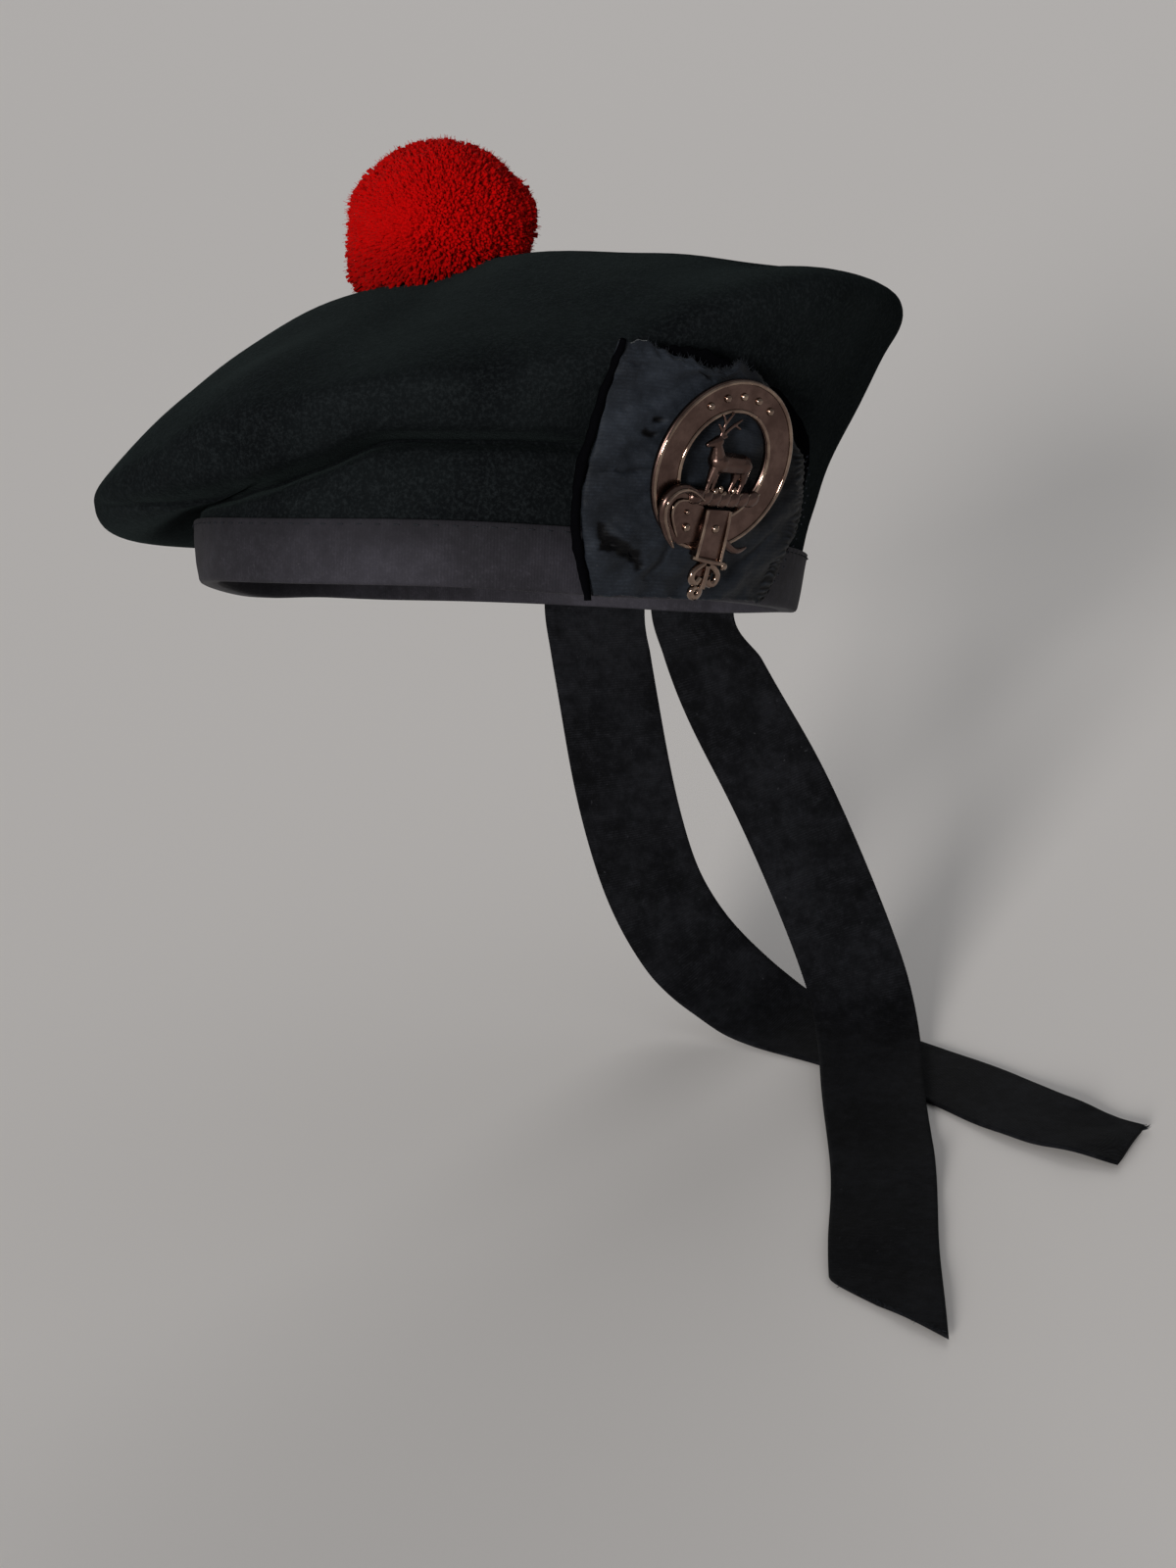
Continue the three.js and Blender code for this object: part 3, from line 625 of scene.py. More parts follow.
def crown():
    """The felt, whose droop hangs out over a crease above its side wall."""
    bm = bmesh.new()
    bm.from_mesh(subdivided(mesh_from(cad_quads("crown")), 2, CORNER))
    crease_height, crease_depth = (through(CROWN_CREASE, k) for k in (1, 2))
    first, last = CROWN_CREASE[0][0], CROWN_CREASE[-1][0]
    deepest = max(row[2] for row in CROWN_CREASE)

    def over_crease(at):
        """How far points are over the crease, and how deep it is there."""
        angle = np.degrees(angle_of(at))
        front = (angle > first) & (angle < last)
        return np.where(front, at[..., 2] - crease_height(angle), FAR), crease_depth(angle)

    ends = unworn([[vert.co for vert in edge.verts] for edge in bm.edges])
    apart, depth = over_crease(ends.mean(1))
    steep = abs(np.diff(ends[..., 2], axis=1)[:, 0]) > 0.5
    near = (abs(apart) < 8) & (depth > 0.3) & steep
    split = [edge for edge, chosen in zip(bm.edges, near) if chosen]
    bmesh.ops.subdivide_edges(bm, edges=split, cuts=3, use_grid_fill=True)
    mesh = mesh_from(bm)
    at = unworn(points_of(mesh))
    apart, depth = over_crease(at)
    line = apart + 0.5 * uneven(at, 26, 4)
    inwards = np.exp(-np.where(line > 0, line / 1.3, line / 2.0) ** 2)
    droop, wall = bump_at(line, 5, 3.2), bump_at(line, -8, 5)
    over_band = eased(at[:, 2], BAND_HEIGHT + 1, BAND_HEIGHT + 4)
    moved = depth * (-inwards + 0.4 * droop + 0.15 * wall) * over_band
    out = at * [1, 1, 0] / np.hypot(at[:, 0], at[:, 1])[:, None].clip(1)
    free = eased(at[:, 2], BAND_HEIGHT + 2, BAND_HEIGHT + 14)
    drift = np.stack([uneven(at, 38, seed) for seed in (1, 2, 3)], -1)
    at = at + moved[:, None] * out - [0, 0, 0.35] * (depth * droop)[:, None]
    move(mesh, worn(at + 0.6 * free[:, None] * drift))
    # Painted shade in the crease under the droop, strongest where the crease is deepest.
    shade = 0.45 * bump_at(line, 0.8, 3) + 0.2 * bump_at(line, 2, 7)
    set_painted_shade(mesh, shade * (depth / deepest) ** 2 * (free > 0))
    finished("felt_crown", mesh, FELT_CLOTH, "felt", "crown")


def round_length(angle):
    """Millimetres round the mouth from the wearer's right round the front to an angle."""
    fine = np.linspace(-np.pi, np.pi, 1441)
    edge = level(fine, mouth_radius(fine), 0)
    steps = np.linalg.norm(np.diff(edge, axis=0), axis=1)
    return np.interp(angle, fine, np.concatenate([[0], np.cumsum(steps)]))


STITCH_SPACING = 4.2
STITCH_OVER = 15.1  # how far over the mouth's edge the stitches are
STITCHES = 131
BINDING_STEPS = 520
CIRCLE = 100  # the plain circle that the binding is turned on before it fits the mouth


def on_binding(angle, out, over):
    """A place on the binding, with the small unevenness that its sewing gives it."""
    place = level(angle, CIRCLE, over)
    puffed = 0.22 * (1 + uneven(place, 30, 11)) * eased(over, 0, 6) * eased(-over, -15.5, -11)
    stitched = np.cos(round_length(angle) * np.pi / STITCH_SPACING) ** 2
    drawn = 0.3 * bump_at(over, 15, 1.3) * stitched
    outside = out > 0
    height = mouth_height(angle) + over + 0.45 * uneven(place, 70, 12)
    return level(angle, mouth_radius(angle, out + outside * (puffed - 0.5 * drawn), over), height)


def binding():
    outside = GAP + BAND_THICK
    inside = -FELT_THICK - outside
    section = [(outside, over) for over in np.linspace(BAND_HEIGHT - 0.3, 0.9, 14)]
    section += [(outside - 0.3, 0.25), (outside - 0.8, 0), (inside + 0.8, 0), (inside + 0.3, 0.25)]
    section += [(inside, over) for over in np.linspace(0.9, BAND_INSIDE_HEIGHT - 0.3, 6)]
    section += [(inside + 0.3, BAND_INSIDE_HEIGHT), (inside + BAND_THICK - 0.2, BAND_INSIDE_HEIGHT)]
    section += [(inside + BAND_THICK, over) for over in (BAND_INSIDE_HEIGHT - 0.3, BAND_THICK)]
    section += [(GAP, over) for over in (BAND_THICK, BAND_HEIGHT - 0.3)]
    section += [(GAP + 0.2, BAND_HEIGHT), (outside - 0.3, BAND_HEIGHT)]
    mesh = lathe([(CIRCLE + out, over) for out, over in section], BINDING_STEPS)
    at = points_of(mesh)
    angle, out, over = angle_of(at), np.hypot(at[:, 0], at[:, 1]) - CIRCLE, at[:, 2]
    move(mesh, worn(on_binding(angle, out, over)))
    unroll(mesh, round_length(angle), over, round_length(np.pi))
    finished("ribbon_binding", mesh, BINDING, "ribbon", "headband")


def binding_stitches():
    stitch = strand(6, 2, 0.7, 0.0)
    places = []
    for angle in np.linspace(-np.pi, np.pi, STITCHES + 1)[:-1]:
        a, b = (worn(on_binding(angle + turn, 1.75, STITCH_OVER)) for turn in (-0.007, 0.007))
        places.append(pointing(a, b - a, np.linalg.norm(b - a), 0.17 * MM))
    finished("binding_stitches", repeated(stitch, places), DARK_THREAD, "ribbon")


# -------- toorie

TOORIE_HEART = (-23, -1.5, 100.5)
TOORIE_RADIUS = 26
YARN_ENDS = 26000
GOLDEN_TURN = math.pi * (3 - math.sqrt(5))  # spreads directions evenly over a ball


def toorie():
    """A core, and the cut ends of its yarn, which are longer in small tufts."""
    cad = cad_quads("toorie")
    tree = BVHTree.FromBMesh(cad)
    body = subdivided(mesh_from(cad), 1)
    heart = Vector(worn(TOORIE_HEART))
    rng = random.Random(7)
    count = np.arange(YARN_ENDS)
    z = 1 - 2 * (count + 0.5) / YARN_ENDS
    turn = count * GOLDEN_TURN + [rng.uniform(-0.3, 0.3) for _ in count]
    flat = np.sqrt(1 - z * z)
    aims = np.stack([flat * np.cos(turn), flat * np.sin(turn), z], -1)
    ball = aims * TOORIE_RADIUS
    tufts = 0.035 * uneven(ball, 9, 22) + 0.03 * uneven(ball, 3.5, 23)
    strands, fibres = ([], []), []
    for i, (aim, tuft) in enumerate(zip(aims, tufts)):
        aim = Vector(aim)
        hit, normal, _, _ = tree.ray_cast(heart, aim)
        sewn_on = hit is not None and (LEVEL.inverted() @ normal).z < -0.75
        if hit is None or sewn_on:
            continue
        reach = (hit - heart).length
        along = (aim + any_way(rng) * 0.09).normalized()
        long = reach * (0.965 + max(0.8 * tuft, -0.04) + rng.uniform(-0.012, 0.012))
        root = heart + along * long * 0.7
        strands[i % 2].append(pointing(root, along, long * 0.3, 0.5 * MM, rng.uniform(0, 6.28)))
        if i % 2:
            continue
        sway = along + any_way(rng) * 0.25
        tip = heart + along * long * 0.95
        fluffy = rng.uniform(1.5, 2.8) * MM
        fibres.append(pointing(tip, sway, fluffy, 0.14 * MM, rng.uniform(0, 6.28)))
    middle = np.array(heart)
    move(body, middle + (points_of(body) - middle) * 0.92)
    yarn, fibre = strand(3, 1, 1.0, 0.4), strand(3, 1, 0.3, 1.5)
    pieces = (
        ("yarn_toorie", joined([repeated(yarn, strands[0]), body]), ("toorie",)),
        ("toorie_more_yarn", repeated(yarn, strands[1]), ()),
        ("toorie_fluff", repeated(fibre, fibres), ()),
    )
    for name, mesh, nodes in pieces:
        at = points_of(mesh)
        out = np.linalg.norm(at - middle, axis=1) / (TOORIE_RADIUS * MM)
        # Painted shade on the lower part of the ball, carried with each strand's random tone.
        low = eased(TOORIE_HEART[2] - unworn(at)[:, 2], 2, 20)
        unroll(mesh, 0.85 + 0.15 * uneven(at / MM, 1.6, 21) - 0.6 * low, np.clip(out, 0, 1.2))
        finished(name, mesh, YARN, "yarn", *nodes)


# -------- cockade

COCKADE = (  # height, front edge and back edge in degrees, drop at the back edge, thickness
    (-1, 37.6, 85, 0, 2.4),
    (10, 35.1, 83.4, 0, 3.2),
    (23, 33.9, 81.6, 0, 3.6),
    (37, 35, 77, 1.5, 3.4),
    (49, 36.4, 71.6, 8, 3),
    (60, 37.9, 61.4, 5, 2.2),
)
COCKADE_LEAN = math.radians(20)
COCKADE_PITCH = 1.75  # millimetres to the degree, near enough, across the cockade
COCKADE_FOOT, COCKADE_TOP = COCKADE[0][0], COCKADE[-1][0]
COCKADE_HEIGHT = COCKADE_TOP - COCKADE_FOOT
COCKADE_WIDTH = 75
cockade_front, cockade_back, cockade_drop, cockade_thick = (
    through(COCKADE, column) for column in (1, 2, 3, 4)
)
COCKADE_CREASES = (  # lines of (degrees, height), with how deep and how wide they are
    (((36.3, 29.6), (38.3, 29.7), (41.9, 29.8), (45.5, 30.6)), 0.5, 0.5),
    (((37.8, 17.2), (39.3, 13.2), (41.6, 11.4), (43.7, 9.9), (45.2, 8.5), (46.2, 5.4)), 1.7, 1.3),
    (((38.6, 11.8), (39.7, 11.3), (41.2, 11.6)), 1.4, 1.3),
    (((42.6, 39.7), (43.6, 39), (44.8, 38.4)), 1.1, 0.8),
    (((43.6, 42.1), (44.6, 42.3), (45.8, 42.8)), 0.8, 0.7),
    (((48.9, 55.6), (50.6, 54), (52.2, 52.2)), 0.6, 0.5),
    (((39.2, 55.4), (40.8, 55), (42.6, 54.9)), 0.4, 0.5),
    (((58.5, 7.5), (61, 8.5), (63.5, 8.1)), 0.6, 0.7),
    (((66, 6.8), (71, 12.5), (74.5, 19)), 0.5, 1.4),
    (((47.6, 3.5), (49.5, 7.8), (50.2, 13)), 0.5, 1.2),
)


def cockade_place(angle, height, out):
    """A place on the cockade: degrees round the head, height, and how far out of its back."""
    over = np.maximum(height, 0)
    leaning = (over * math.sin(COCKADE_LEAN) + out) / math.cos(COCKADE_LEAN)
    turn = np.radians(angle)
    return level(turn, mouth_radius(turn, BAND_THICK + 2 * GAP, over) + leaning, height)


def cockade_surface(across, up, out):
    """Where a share of the way across and up the panel is, raised by its puckers and creases,
    and how much painted shade it gets there, from 0 to 1."""
    height = COCKADE_FOOT + COCKADE_HEIGHT * up
    front = cockade_front(height) + 1.3 * eased(-up, -0.97, -0.6)
    angle = front + (cockade_back(height) - front) * across
    fallen = height - cockade_drop(height) * across**2
    plane = np.stack([angle * COCKADE_PITCH, fallen, 0 * angle], -1)
    ragged = 0.5 * uneven(plane, 9, 31) + 0.3 * uneven(plane, 2.5, 32)
    dip = -3.0 * bump_at(angle, 50, 4.8) + 0.9 * bump_at(angle, 55.8, 1.2)
    fallen += (ragged + dip) * eased(up, 0.9, 1) + 0.35 * ragged * eased(-up, -0.06, 0)
    relief = 0.6 * uneven(plane, 14, 33) + 0.36 * uneven(plane * [0.5, 1, 1], 5, 34)
    relief += 0.14 * uneven(plane * [0.4, 1, 1], 1.8, 37)
    puckers = np.sin(fallen * FULL_TURN / 4.6 + 1.5 * np.sin(fallen * 0.23))
    relief += 0.3 * puckers * np.exp(-np.maximum(angle - front, 0) / 2.5)
    # Painted shade: darker towards the back edge, which turns away from the light, and in the
    # relief's hollows.
    painted_shade = 0.3 * eased(across, 0.4, 0.7) + 0.3 * eased(across, 0.7, 0.9)
    painted_shade += 0.3 * np.clip(-relief, 0, 1)
    # Each crease is pressed in and painted dark down in it, as painted shade.
    for line, depth, width in COCKADE_CREASES:
        flat = np.array([(a * COCKADE_PITCH, h, 0) for a, h in line])
        line_of = crease(plane + 0.25 * uneven(plane, 3, 35)[..., None], flat, width)
        relief -= 1.5 * depth * line_of
        painted_shade = np.maximum(painted_shade, np.clip(2.2 * depth * line_of - 0.35, 0, 1))
    wander = 1.2 * np.sin(fallen * 0.7) + 2 * uneven(plane, 6, 36)
    pleat = np.sin(fallen * FULL_TURN / 1.6 + wander)
    low = eased(-up, -0.8, -0.7)
    gathered = eased(across, 0.87, 0.92) * low
    relief += 0.4 * pleat * gathered
    # Painted shade in the valleys of the gathered pleats, and a painted shadow on the strip of the
    # back edge that turns under.
    painted_shade = painted_shade * (1 - gathered) + gathered * np.clip(0.8 - 0.8 * pleat, 0, 1)
    painted_shade = np.maximum(painted_shade, eased(across, 0.945, 0.96) * low)
    from_edge = np.minimum(np.minimum(across, 1 - across) / 0.10, 1)
    thick = cockade_thick(height) * (0.5 + 0.5 * np.sqrt(from_edge))
    hollow = bump_at(angle, 50.5, 4.5) * eased(up, 0.86, 1)
    top = 1 - 0.35 * eased(up, 0.93, 1) + 0.9 * hollow
    out_of_back = (thick + relief * (0.4 + 0.6 * from_edge)) * top * out
    return cockade_place(angle, fallen, out_of_back), painted_shade


def cockade():
    """The gathered ribbon panel."""
    mesh, across, up = sheet_of(110, 210)
    places, painted_shade = cockade_surface(across, up, 1)
    move(mesh, worn(places))
    set_painted_shade(mesh, painted_shade)
    unroll(mesh, up * COCKADE_HEIGHT, across * COCKADE_WIDTH)
    solid = thickened(mesh, 1.1)
    finished("ribbon_cockade", solid, COCKADE_RIBBON, "cockade_ribbon", "cockade")


def cockade_backing_and_shade():
    """The black layer behind the cockade, seen over its top and beside the badge. It is partly a
    black ribbon layer and partly painted shadow, in the hollow behind the top edge and beside the
    badge.
    """
    mesh, across, up = sheet_of(60, 60)
    front, foot, tall = 44, 1, COCKADE_TOP - 1
    ragged = 0.7 * uneven(np.stack([across * 60, up * 60, 0 * up], -1), 7, 71)
    height = foot + tall * up - (16 * across**3 - ragged) * up
    angle = front + across * (cockade_back(height) + 1.6 + 0.3 * ragged - front)
    out = 0.9 + 0.35 * uneven(np.stack([angle, height, 0 * up], -1), 9, 72)
    move(mesh, worn(cockade_place(angle, height, out)))
    finished("cockade_backing_and_shade", thickened(mesh, 0.5), BLACK_ROLL, "cockade_ribbon")


def cockade_roll():
    """The black edge that is rolled along the cockade's front side."""
    heights = np.linspace(-2.4, 60.6, 30)
    angles = cockade_front(heights) + 0.5 + 0.08 * np.sin(heights * 0.35)
    places = worn(cockade_place(angles, heights, 1.7))
    up = (heights - heights[0]) / (heights[-1] - heights[0])
    radii = 1.25 - 0.35 * eased(up, 0.6, 1) - 0.2 * eased(-up, -0.15, 0)
    radii += 0.12 * np.sin(heights * 0.9)
    mesh = tube(places, radii * MM, 16)
    at = unworn(points_of(mesh))
    move(mesh, worn(at + 0.16 * np.stack([uneven(at, 4, s) for s in (41, 42, 43)], -1)))
    finished("cockade_roll", mesh, BLACK_ROLL, "cockade_ribbon")


COCKADE_FRAYS = 260


def cockade_threads():
    """Stitches down the gathered side, and threads frayed from the top edge."""
    rng = random.Random(12)
    stitch = strand(6, 2, 0.7, 0.0)
    hair = strand(3, 4, 0.4, 1.2)
    stitches = []
    for height in np.arange(4, 39, 1.9):
        back = cockade_back(height) - 0.9 + 0.5 * math.sin(height)
        at = height - cockade_drop(height) * 0.95
        thick = cockade_thick(height) * 0.9 + 0.3
        a = worn(cockade_place(back, at, thick))
        b = worn(cockade_place(back + 0.8, at + 0.5, thick - 0.5))
        stitches.append(pointing(a, b - a, np.linalg.norm(b - a), 0.18 * MM))
    frays = []
    for i in range(COCKADE_FRAYS):
        across = rng.uniform(0.14, 0.98) if i % 2 else rng.uniform(0.62, 0.85)
        start = worn(cockade_surface(across, 0.995, 0.95)[0])
        lean = (rng.gauss(0, 0.5), rng.gauss(0, 0.5), 1)
        long = rng.uniform(0.4, 1.3) if rng.random() < 0.85 else rng.uniform(1.3, 2.2)
        fine = rng.uniform(0.05, 0.1)
        frays.append(pointing(start, lean, long * MM, fine * MM, rng.uniform(0, 6)))
    threads = joined([repeated(stitch, stitches), repeated(hair, frays)])
    finished("cockade_threads", threads, DARK_THREAD, "cockade_ribbon")


# -------- badge

BADGE_ANGLE = 55.8  # degrees round the head to the ring's middle
BADGE_HEIGHT = 32.8
BADGE_LEAN = math.radians(2)
BADGE_OFF = 1.15
STRAP_OUTSIDE = 22.5  # radii of the strap ring
STRAP_INSIDE = 13.9
RING_STEPS = 120
STUD_SIZES = (1.15, 1.15, 0.9)


def badge_frame():
    """The badge's own frame: u across it, v up it and w out of it, in millimetres."""
    def face(angle, height):
        return Vector(cockade_place(angle, height, cockade_thick(height)))

    back = (face(BADGE_ANGLE + 1, BADGE_HEIGHT) - face(BADGE_ANGLE - 1, BADGE_HEIGHT)).normalized()
    up = (face(BADGE_ANGLE, BADGE_HEIGHT + 1) - face(BADGE_ANGLE, BADGE_HEIGHT - 1)).normalized()
    out = back.cross(up).normalized()
    square = Matrix((back, out.cross(back), out)).transposed().to_4x4()
    middle = face(BADGE_ANGLE, BADGE_HEIGHT) + out * BADGE_OFF
    turned = Matrix.Translation(middle) @ square @ Matrix.Rotation(BADGE_LEAN, 4, "X")
    return LEVEL @ Matrix.Scale(MM, 4) @ turned


def strap_ring():
    flat = [(r, 1.3) for r in np.linspace(STRAP_OUTSIDE, STRAP_INSIDE, 7)]
    return lathe([(STRAP_INSIDE, 0), (STRAP_OUTSIDE, 0), *flat], RING_STEPS)


def ring_edges():
    """The raised lines round the strap ring's outside and inside."""
    rounding = [(0.55 * math.cos(t), 1.25 + 0.495 * math.sin(t)) for t in np.linspace(0, np.pi, 9)]
    middles = (STRAP_OUTSIDE - 0.6, STRAP_INSIDE + 0.6)
    return [lathe([(middle + r, w) for r, w in rounding], RING_STEPS) for middle in middles]


def plate(outline, foot, depth):
    """A flat plate with rounded front edges, from its outline of (u, v) points."""
    bm = bmesh.new()
    face = bm.faces.new([bm.verts.new((u, v, foot)) for u, v in outline])
    made = bmesh.ops.extrude_face_region(bm, geom=[face])["geom"]
    tops = [v for v in made if isinstance(v, bmesh.types.BMVert)]
    bmesh.ops.translate(bm, vec=(0, 0, depth), verts=tops)
    rim = [e for e in bm.edges if all(v.co.z > foot + depth / 2 for v in e.verts)]
    bmesh.ops.bevel(bm, geom=rim, offset=0.25, segments=3, profile=0.5, affect="EDGES", material=-1)
    bmesh.ops.recalc_face_normals(bm, faces=bm.faces)
    return mesh_from(bm)


def lump(u, v, w, sizes, turn=0.0, fine=16):
    """A rounded boss: an ellipsoid of some half sizes, turned in the badge's plane."""
    bm = bmesh.new()
    bmesh.ops.create_uvsphere(bm, u_segments=fine, v_segments=fine // 2 + 2, radius=1)
    turned = Matrix.Rotation(turn, 4, "Z") @ Matrix.Diagonal((*sizes, 1))
    bmesh.ops.transform(bm, matrix=Matrix.Translation((u, v, w)) @ turned, verts=bm.verts)
    return mesh_from(bm)


def wire(points, radii, sides=10):
    """A round raised line through (u, v, w) points, with a radius at each."""
    return tube([Vector(p) for p in points], radii, sides)


def rounded(rows, share=1, raised=0, sides=10):
    """A raised line through rows of (u, v, w, radius), thinned to a share of its radius and
    raised by another."""
    points = [(u, v, w + raised * r) for u, v, w, r in rows]
    return wire(points, [share * row[3] for row in rows], sides)


def wreath():
    """A twisted rope of cloth under the deer, and the raised threads in its twists."""
    middles = [(3.15 * (i - 3) + 2.5, -8.4 + 0.05 * (i - 3) ** 2) for i in range(7)]
    turns = [lump(u, v, 1.7, (2.6, 2.0, 1.7), math.radians(34), 20) for u, v in middles]
    over = ((-2.0, -1.5, 2.2), (-0.3, 0.4, 3.2), (1.8, 1.7, 2.4))
    threads = [
        wire([(u + du, v + dv, w) for du, dv, w in over], (0.3, 0.5, 0.3)) for u, v in middles
    ]
    return turns, threads


DEER = (  # limbs, as u, v and radius at one end, the same at the other, and how far forward
    (-2.8, 0.2, 2.2, 4.2, 0, 2.05, 0),
    (-3.6, 0.6, 1.9, -5, 4.4, 1, 0.1),
    (-4.9, 5, 1.15, -7.7, 4, 0.55, 0.1),
    (-4.3, 5.8, 0.45, -2.9, 6.3, 0.25, 0.3),
    (-3.9, -1, 1.15, -4.5, -4.2, 0.7, 0.4),
    (-4.5, -4.2, 0.62, -4.7, -7.8, 0.5, 0.4),
    (-2.6, -1, 1.1, -2.3, -4.4, 0.65, -0.4),
    (-2.3, -4.4, 0.58, -2.2, -7.8, 0.48, -0.4),
    (4.5, -0.2, 1.8, 5.6, -3.8, 0.8, 0.4),
    (5.6, -3.8, 0.65, 5, -7.8, 0.5, 0.4),
    (3.6, -0.4, 1.5, 3.7, -3.9, 0.7, -0.4),
    (3.7, -3.9, 0.6, 2.9, -7.8, 0.48, -0.4),
    (6, 1, 0.6, 6.9, -0.7, 0.35, 0),
    (-4.8, 5.9, 0.42, -4.4, 9.2, 0.36, 0.3),
    (-4.4, 9.2, 0.36, -2.8, 11.7, 0.26, 0.3),
    (-4.7, 7.3, 0.34, -6.2, 8.8, 0.26, 0.3),
    (-4.4, 9.2, 0.34, -5.6, 11, 0.26, 0.3),
    (-4.4, 5.9, 0.42, -2.1, 8.2, 0.36, -0.1),
    (-2.1, 8.2, 0.36, 0.6, 10.2, 0.26, -0.1),
    (-1.3, 8.9, 0.34, 0.8, 8.1, 0.26, -0.1),
)


def deer():
    """A deer on four feet: its limbs, melted together and smoothed."""
    limbs = []
    shares = (0, 0.34, 0.67, 1)
    for u, v, r, far_u, far_v, far_r, forward in DEER:
        a, b = Vector((u, v, 1.5 + forward)), Vector((far_u, far_v, 1.5 + forward))
        radii = [1.15 * (r + (far_r - r) * t) for t in shares]
        limbs.append(tube([a.lerp(b, t) for t in shares], radii, 12))
        limbs += [lump(*a, [radii[0]] * 3, fine=12), lump(*b, [radii[3]] * 3, fine=12)]
    return modified(
        joined(limbs),
        ("REMESH", {"mode": "VOXEL", "voxel_size": 0.17}),
        ("SMOOTH", {"factor": 0.5, "iterations": 5}),
    )


HORSESHOE = (  # the buckle's frame, as (u, v, w) and its radius
    (-5, -8.6, 2.4, 0.9),
    (-9.5, -6, 2.8, 1.35),
    (-14.6, -5.6, 2.9, 1.6),
    (-18, -8.8, 2.8, 1.6),
    (-17.5, -13.2, 2.7, 1.5),
    (-14.8, -16.9, 2.6, 1.35),
    (-12.6, -19.4, 2.5, 1.1),
    (-10.4, -21.4, 2.4, 0.45),
)
INSIDE_SHOE = (  # the raised line inside it, in the same way
    (-7.4, -9.4, 2, 0.3), (-12.2, -8.4, 2.2, 0.5), (-14.4, -11.4, 2.2, 0.55),
    (-12.4, -15.6, 2.1, 0.5), (-9.8, -18.6, 2, 0.3),
)
UNDER_BUCKLE = (  # the outline of the plate under it
    (-2, -12), (-2.4, -20), (-8.5, -20.8), (-12, -19),
    (-16.6, -13), (-17.4, -9.5), (-14.5, -6.2), (-5.5, -8.6),
)


def buckle_edges():
    """The buckle's frame, curled round the strap at the lower left, and two studs."""
    shoe = rounded(HORSESHOE, 0.85, 0, 14)
    crest = rounded(HORSESHOE, 0.32, 0.75)
    studs = [lump(-7.4, -16.2, 2.1, STUD_SIZES), lump(-8.6, -12.2, 2.1, (0.7, 0.7, 0.6))]
    return shoe, [crest, rounded(INSIDE_SHOE), *studs]


# Raised lines of the strap's end, as (u, v, w) and radius.
FLICK = ((6, -19, 1.6, 1.3), (9.6, -21.4, 2, 1.1), (13, -22, 1.9, 0.8), (15.4, -20.8, 1.5, 0.3))
STRAP_SIDES = (
    ((-2.3, -11.2, 2.5, 0.5), (-2.2, -18, 3.1, 0.5), (-1.9, -23.8, 2.9, 0.5)),
    ((5.5, -11.2, 2.5, 0.5), (6.1, -18, 3.1, 0.5), (6.6, -24.6, 2.9, 0.5)),
)
COLLAR = ((-3, -23.8, 2.4, 0.7), (2.4, -24.7, 3.2, 0.95), (8, -25.2, 2.6, 0.8))
SCROLLS = (
    (
        (1.6, -25.2, 2.6, 1), (-1.6, -26.6, 2.8, 1), (-2, -29.6, 2.8, 1), (0.4, -30.9, 2.9, 1),
        (1.2, -29, 2.7, 1),
    ),
    (
        (3.2, -25.4, 2.6, 1), (6.9, -26.9, 2.8, 1), (7, -30, 2.8, 1), (4.8, -31.2, 2.9, 1),
        (3.9, -29.4, 2.7, 1),
    ),
    ((2.4, -25.6, 3.2, 0.8), (2.6, -28.4, 3.4, 0.7), (2.6, -31.6, 3, 1)),
)


def strap_end():
    """The strap's end below the ring, with its flick to the right."""
    strap = plate([(-2.4, -11.0), (-2.0, -23.8), (6.6, -24.8), (5.6, -11.0)], 0, 2.6)
    tip = lump(2.6, -28.6, 1.6, (3.4, 4.4, 1.2), math.radians(8))
    return [strap, rounded(FLICK), tip]


def strap_edges():
    """The raised sides of the strap's end, its collar, stud, and scrolled tip."""
    lines = [rounded(rows) for rows in (*STRAP_SIDES, COLLAR, *SCROLLS)]
    thick = 0.95
    turns = np.linspace(0, 5.5, 8)
    loop = lathe([(1.35 + thick * math.cos(t), 1.9 + thick * math.sin(t)) for t in turns], 24)
    loop.transform(Matrix.Translation((1.8, -33.2, 0)))
    studs = [lump(2.0, -16.0, 2.6, STUD_SIZES), lump(8.4, -25.8, 2.6, (1.1, 1.1, 1.0))]
    return [*lines, loop, *studs]


def badge():
    """The cast badge, and its raised lines, which wear has rubbed bright."""
    studs = (STRAP_OUTSIDE + STRAP_INSIDE) / 2
    beast = deer()
    feet = Vector((0, -8, 0))
    larger = Matrix.Scale(1.12, 4) @ Matrix.Translation(-feet)
    beast.transform(Matrix.Translation(feet + Vector((0.6, 0, 0))) @ larger)
    turns, threads = wreath()
    tuft = (0.75, 1.15, 0.7)
    grass = [
        lump(u, -6.6 + 0.9 * math.sin(3 * u), 2.0, tuft, 0.4 * math.sin(2 * u))
        for u in np.linspace(-4.2, 8, 9)
    ]
    shoe, buckle = buckle_edges()
    cast = [strap_ring(), beast, shoe, *turns, plate(UNDER_BUCKLE, 0.2, 1.7), *strap_end()]
    rubbed = [*ring_edges(), *threads, *grass, *buckle, *strap_edges()]
    for turn in (-34, -17, 0, 17, 34):
        t = math.radians(turn)
        rubbed.append(lump(studs * math.sin(t), studs * math.cos(t), 1.4, (1.05, 1.05, 0.85)))
    for name, meshes, finish, nodes in (
        ("cast_badge", cast, BRONZE, ("crest_badge",)),
        ("badge_rubbed_edges", rubbed, RUBBED_BRONZE, ()),
    ):
        whole = joined(meshes)
        whole.transform(badge_frame())
        finished(name, whole, finish, "bronze", *nodes)


def badge_pin():
    """Gives the plain pin behind the badge the badge's finish."""
    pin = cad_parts["badge_pin"].data
    pin.materials.clear()
    pin.materials.append(BRONZE)


# -------- tails

TAIL_ROW = 8  # the vertices that go round one section of a tail's solid
TAIL_FRAYS = 150


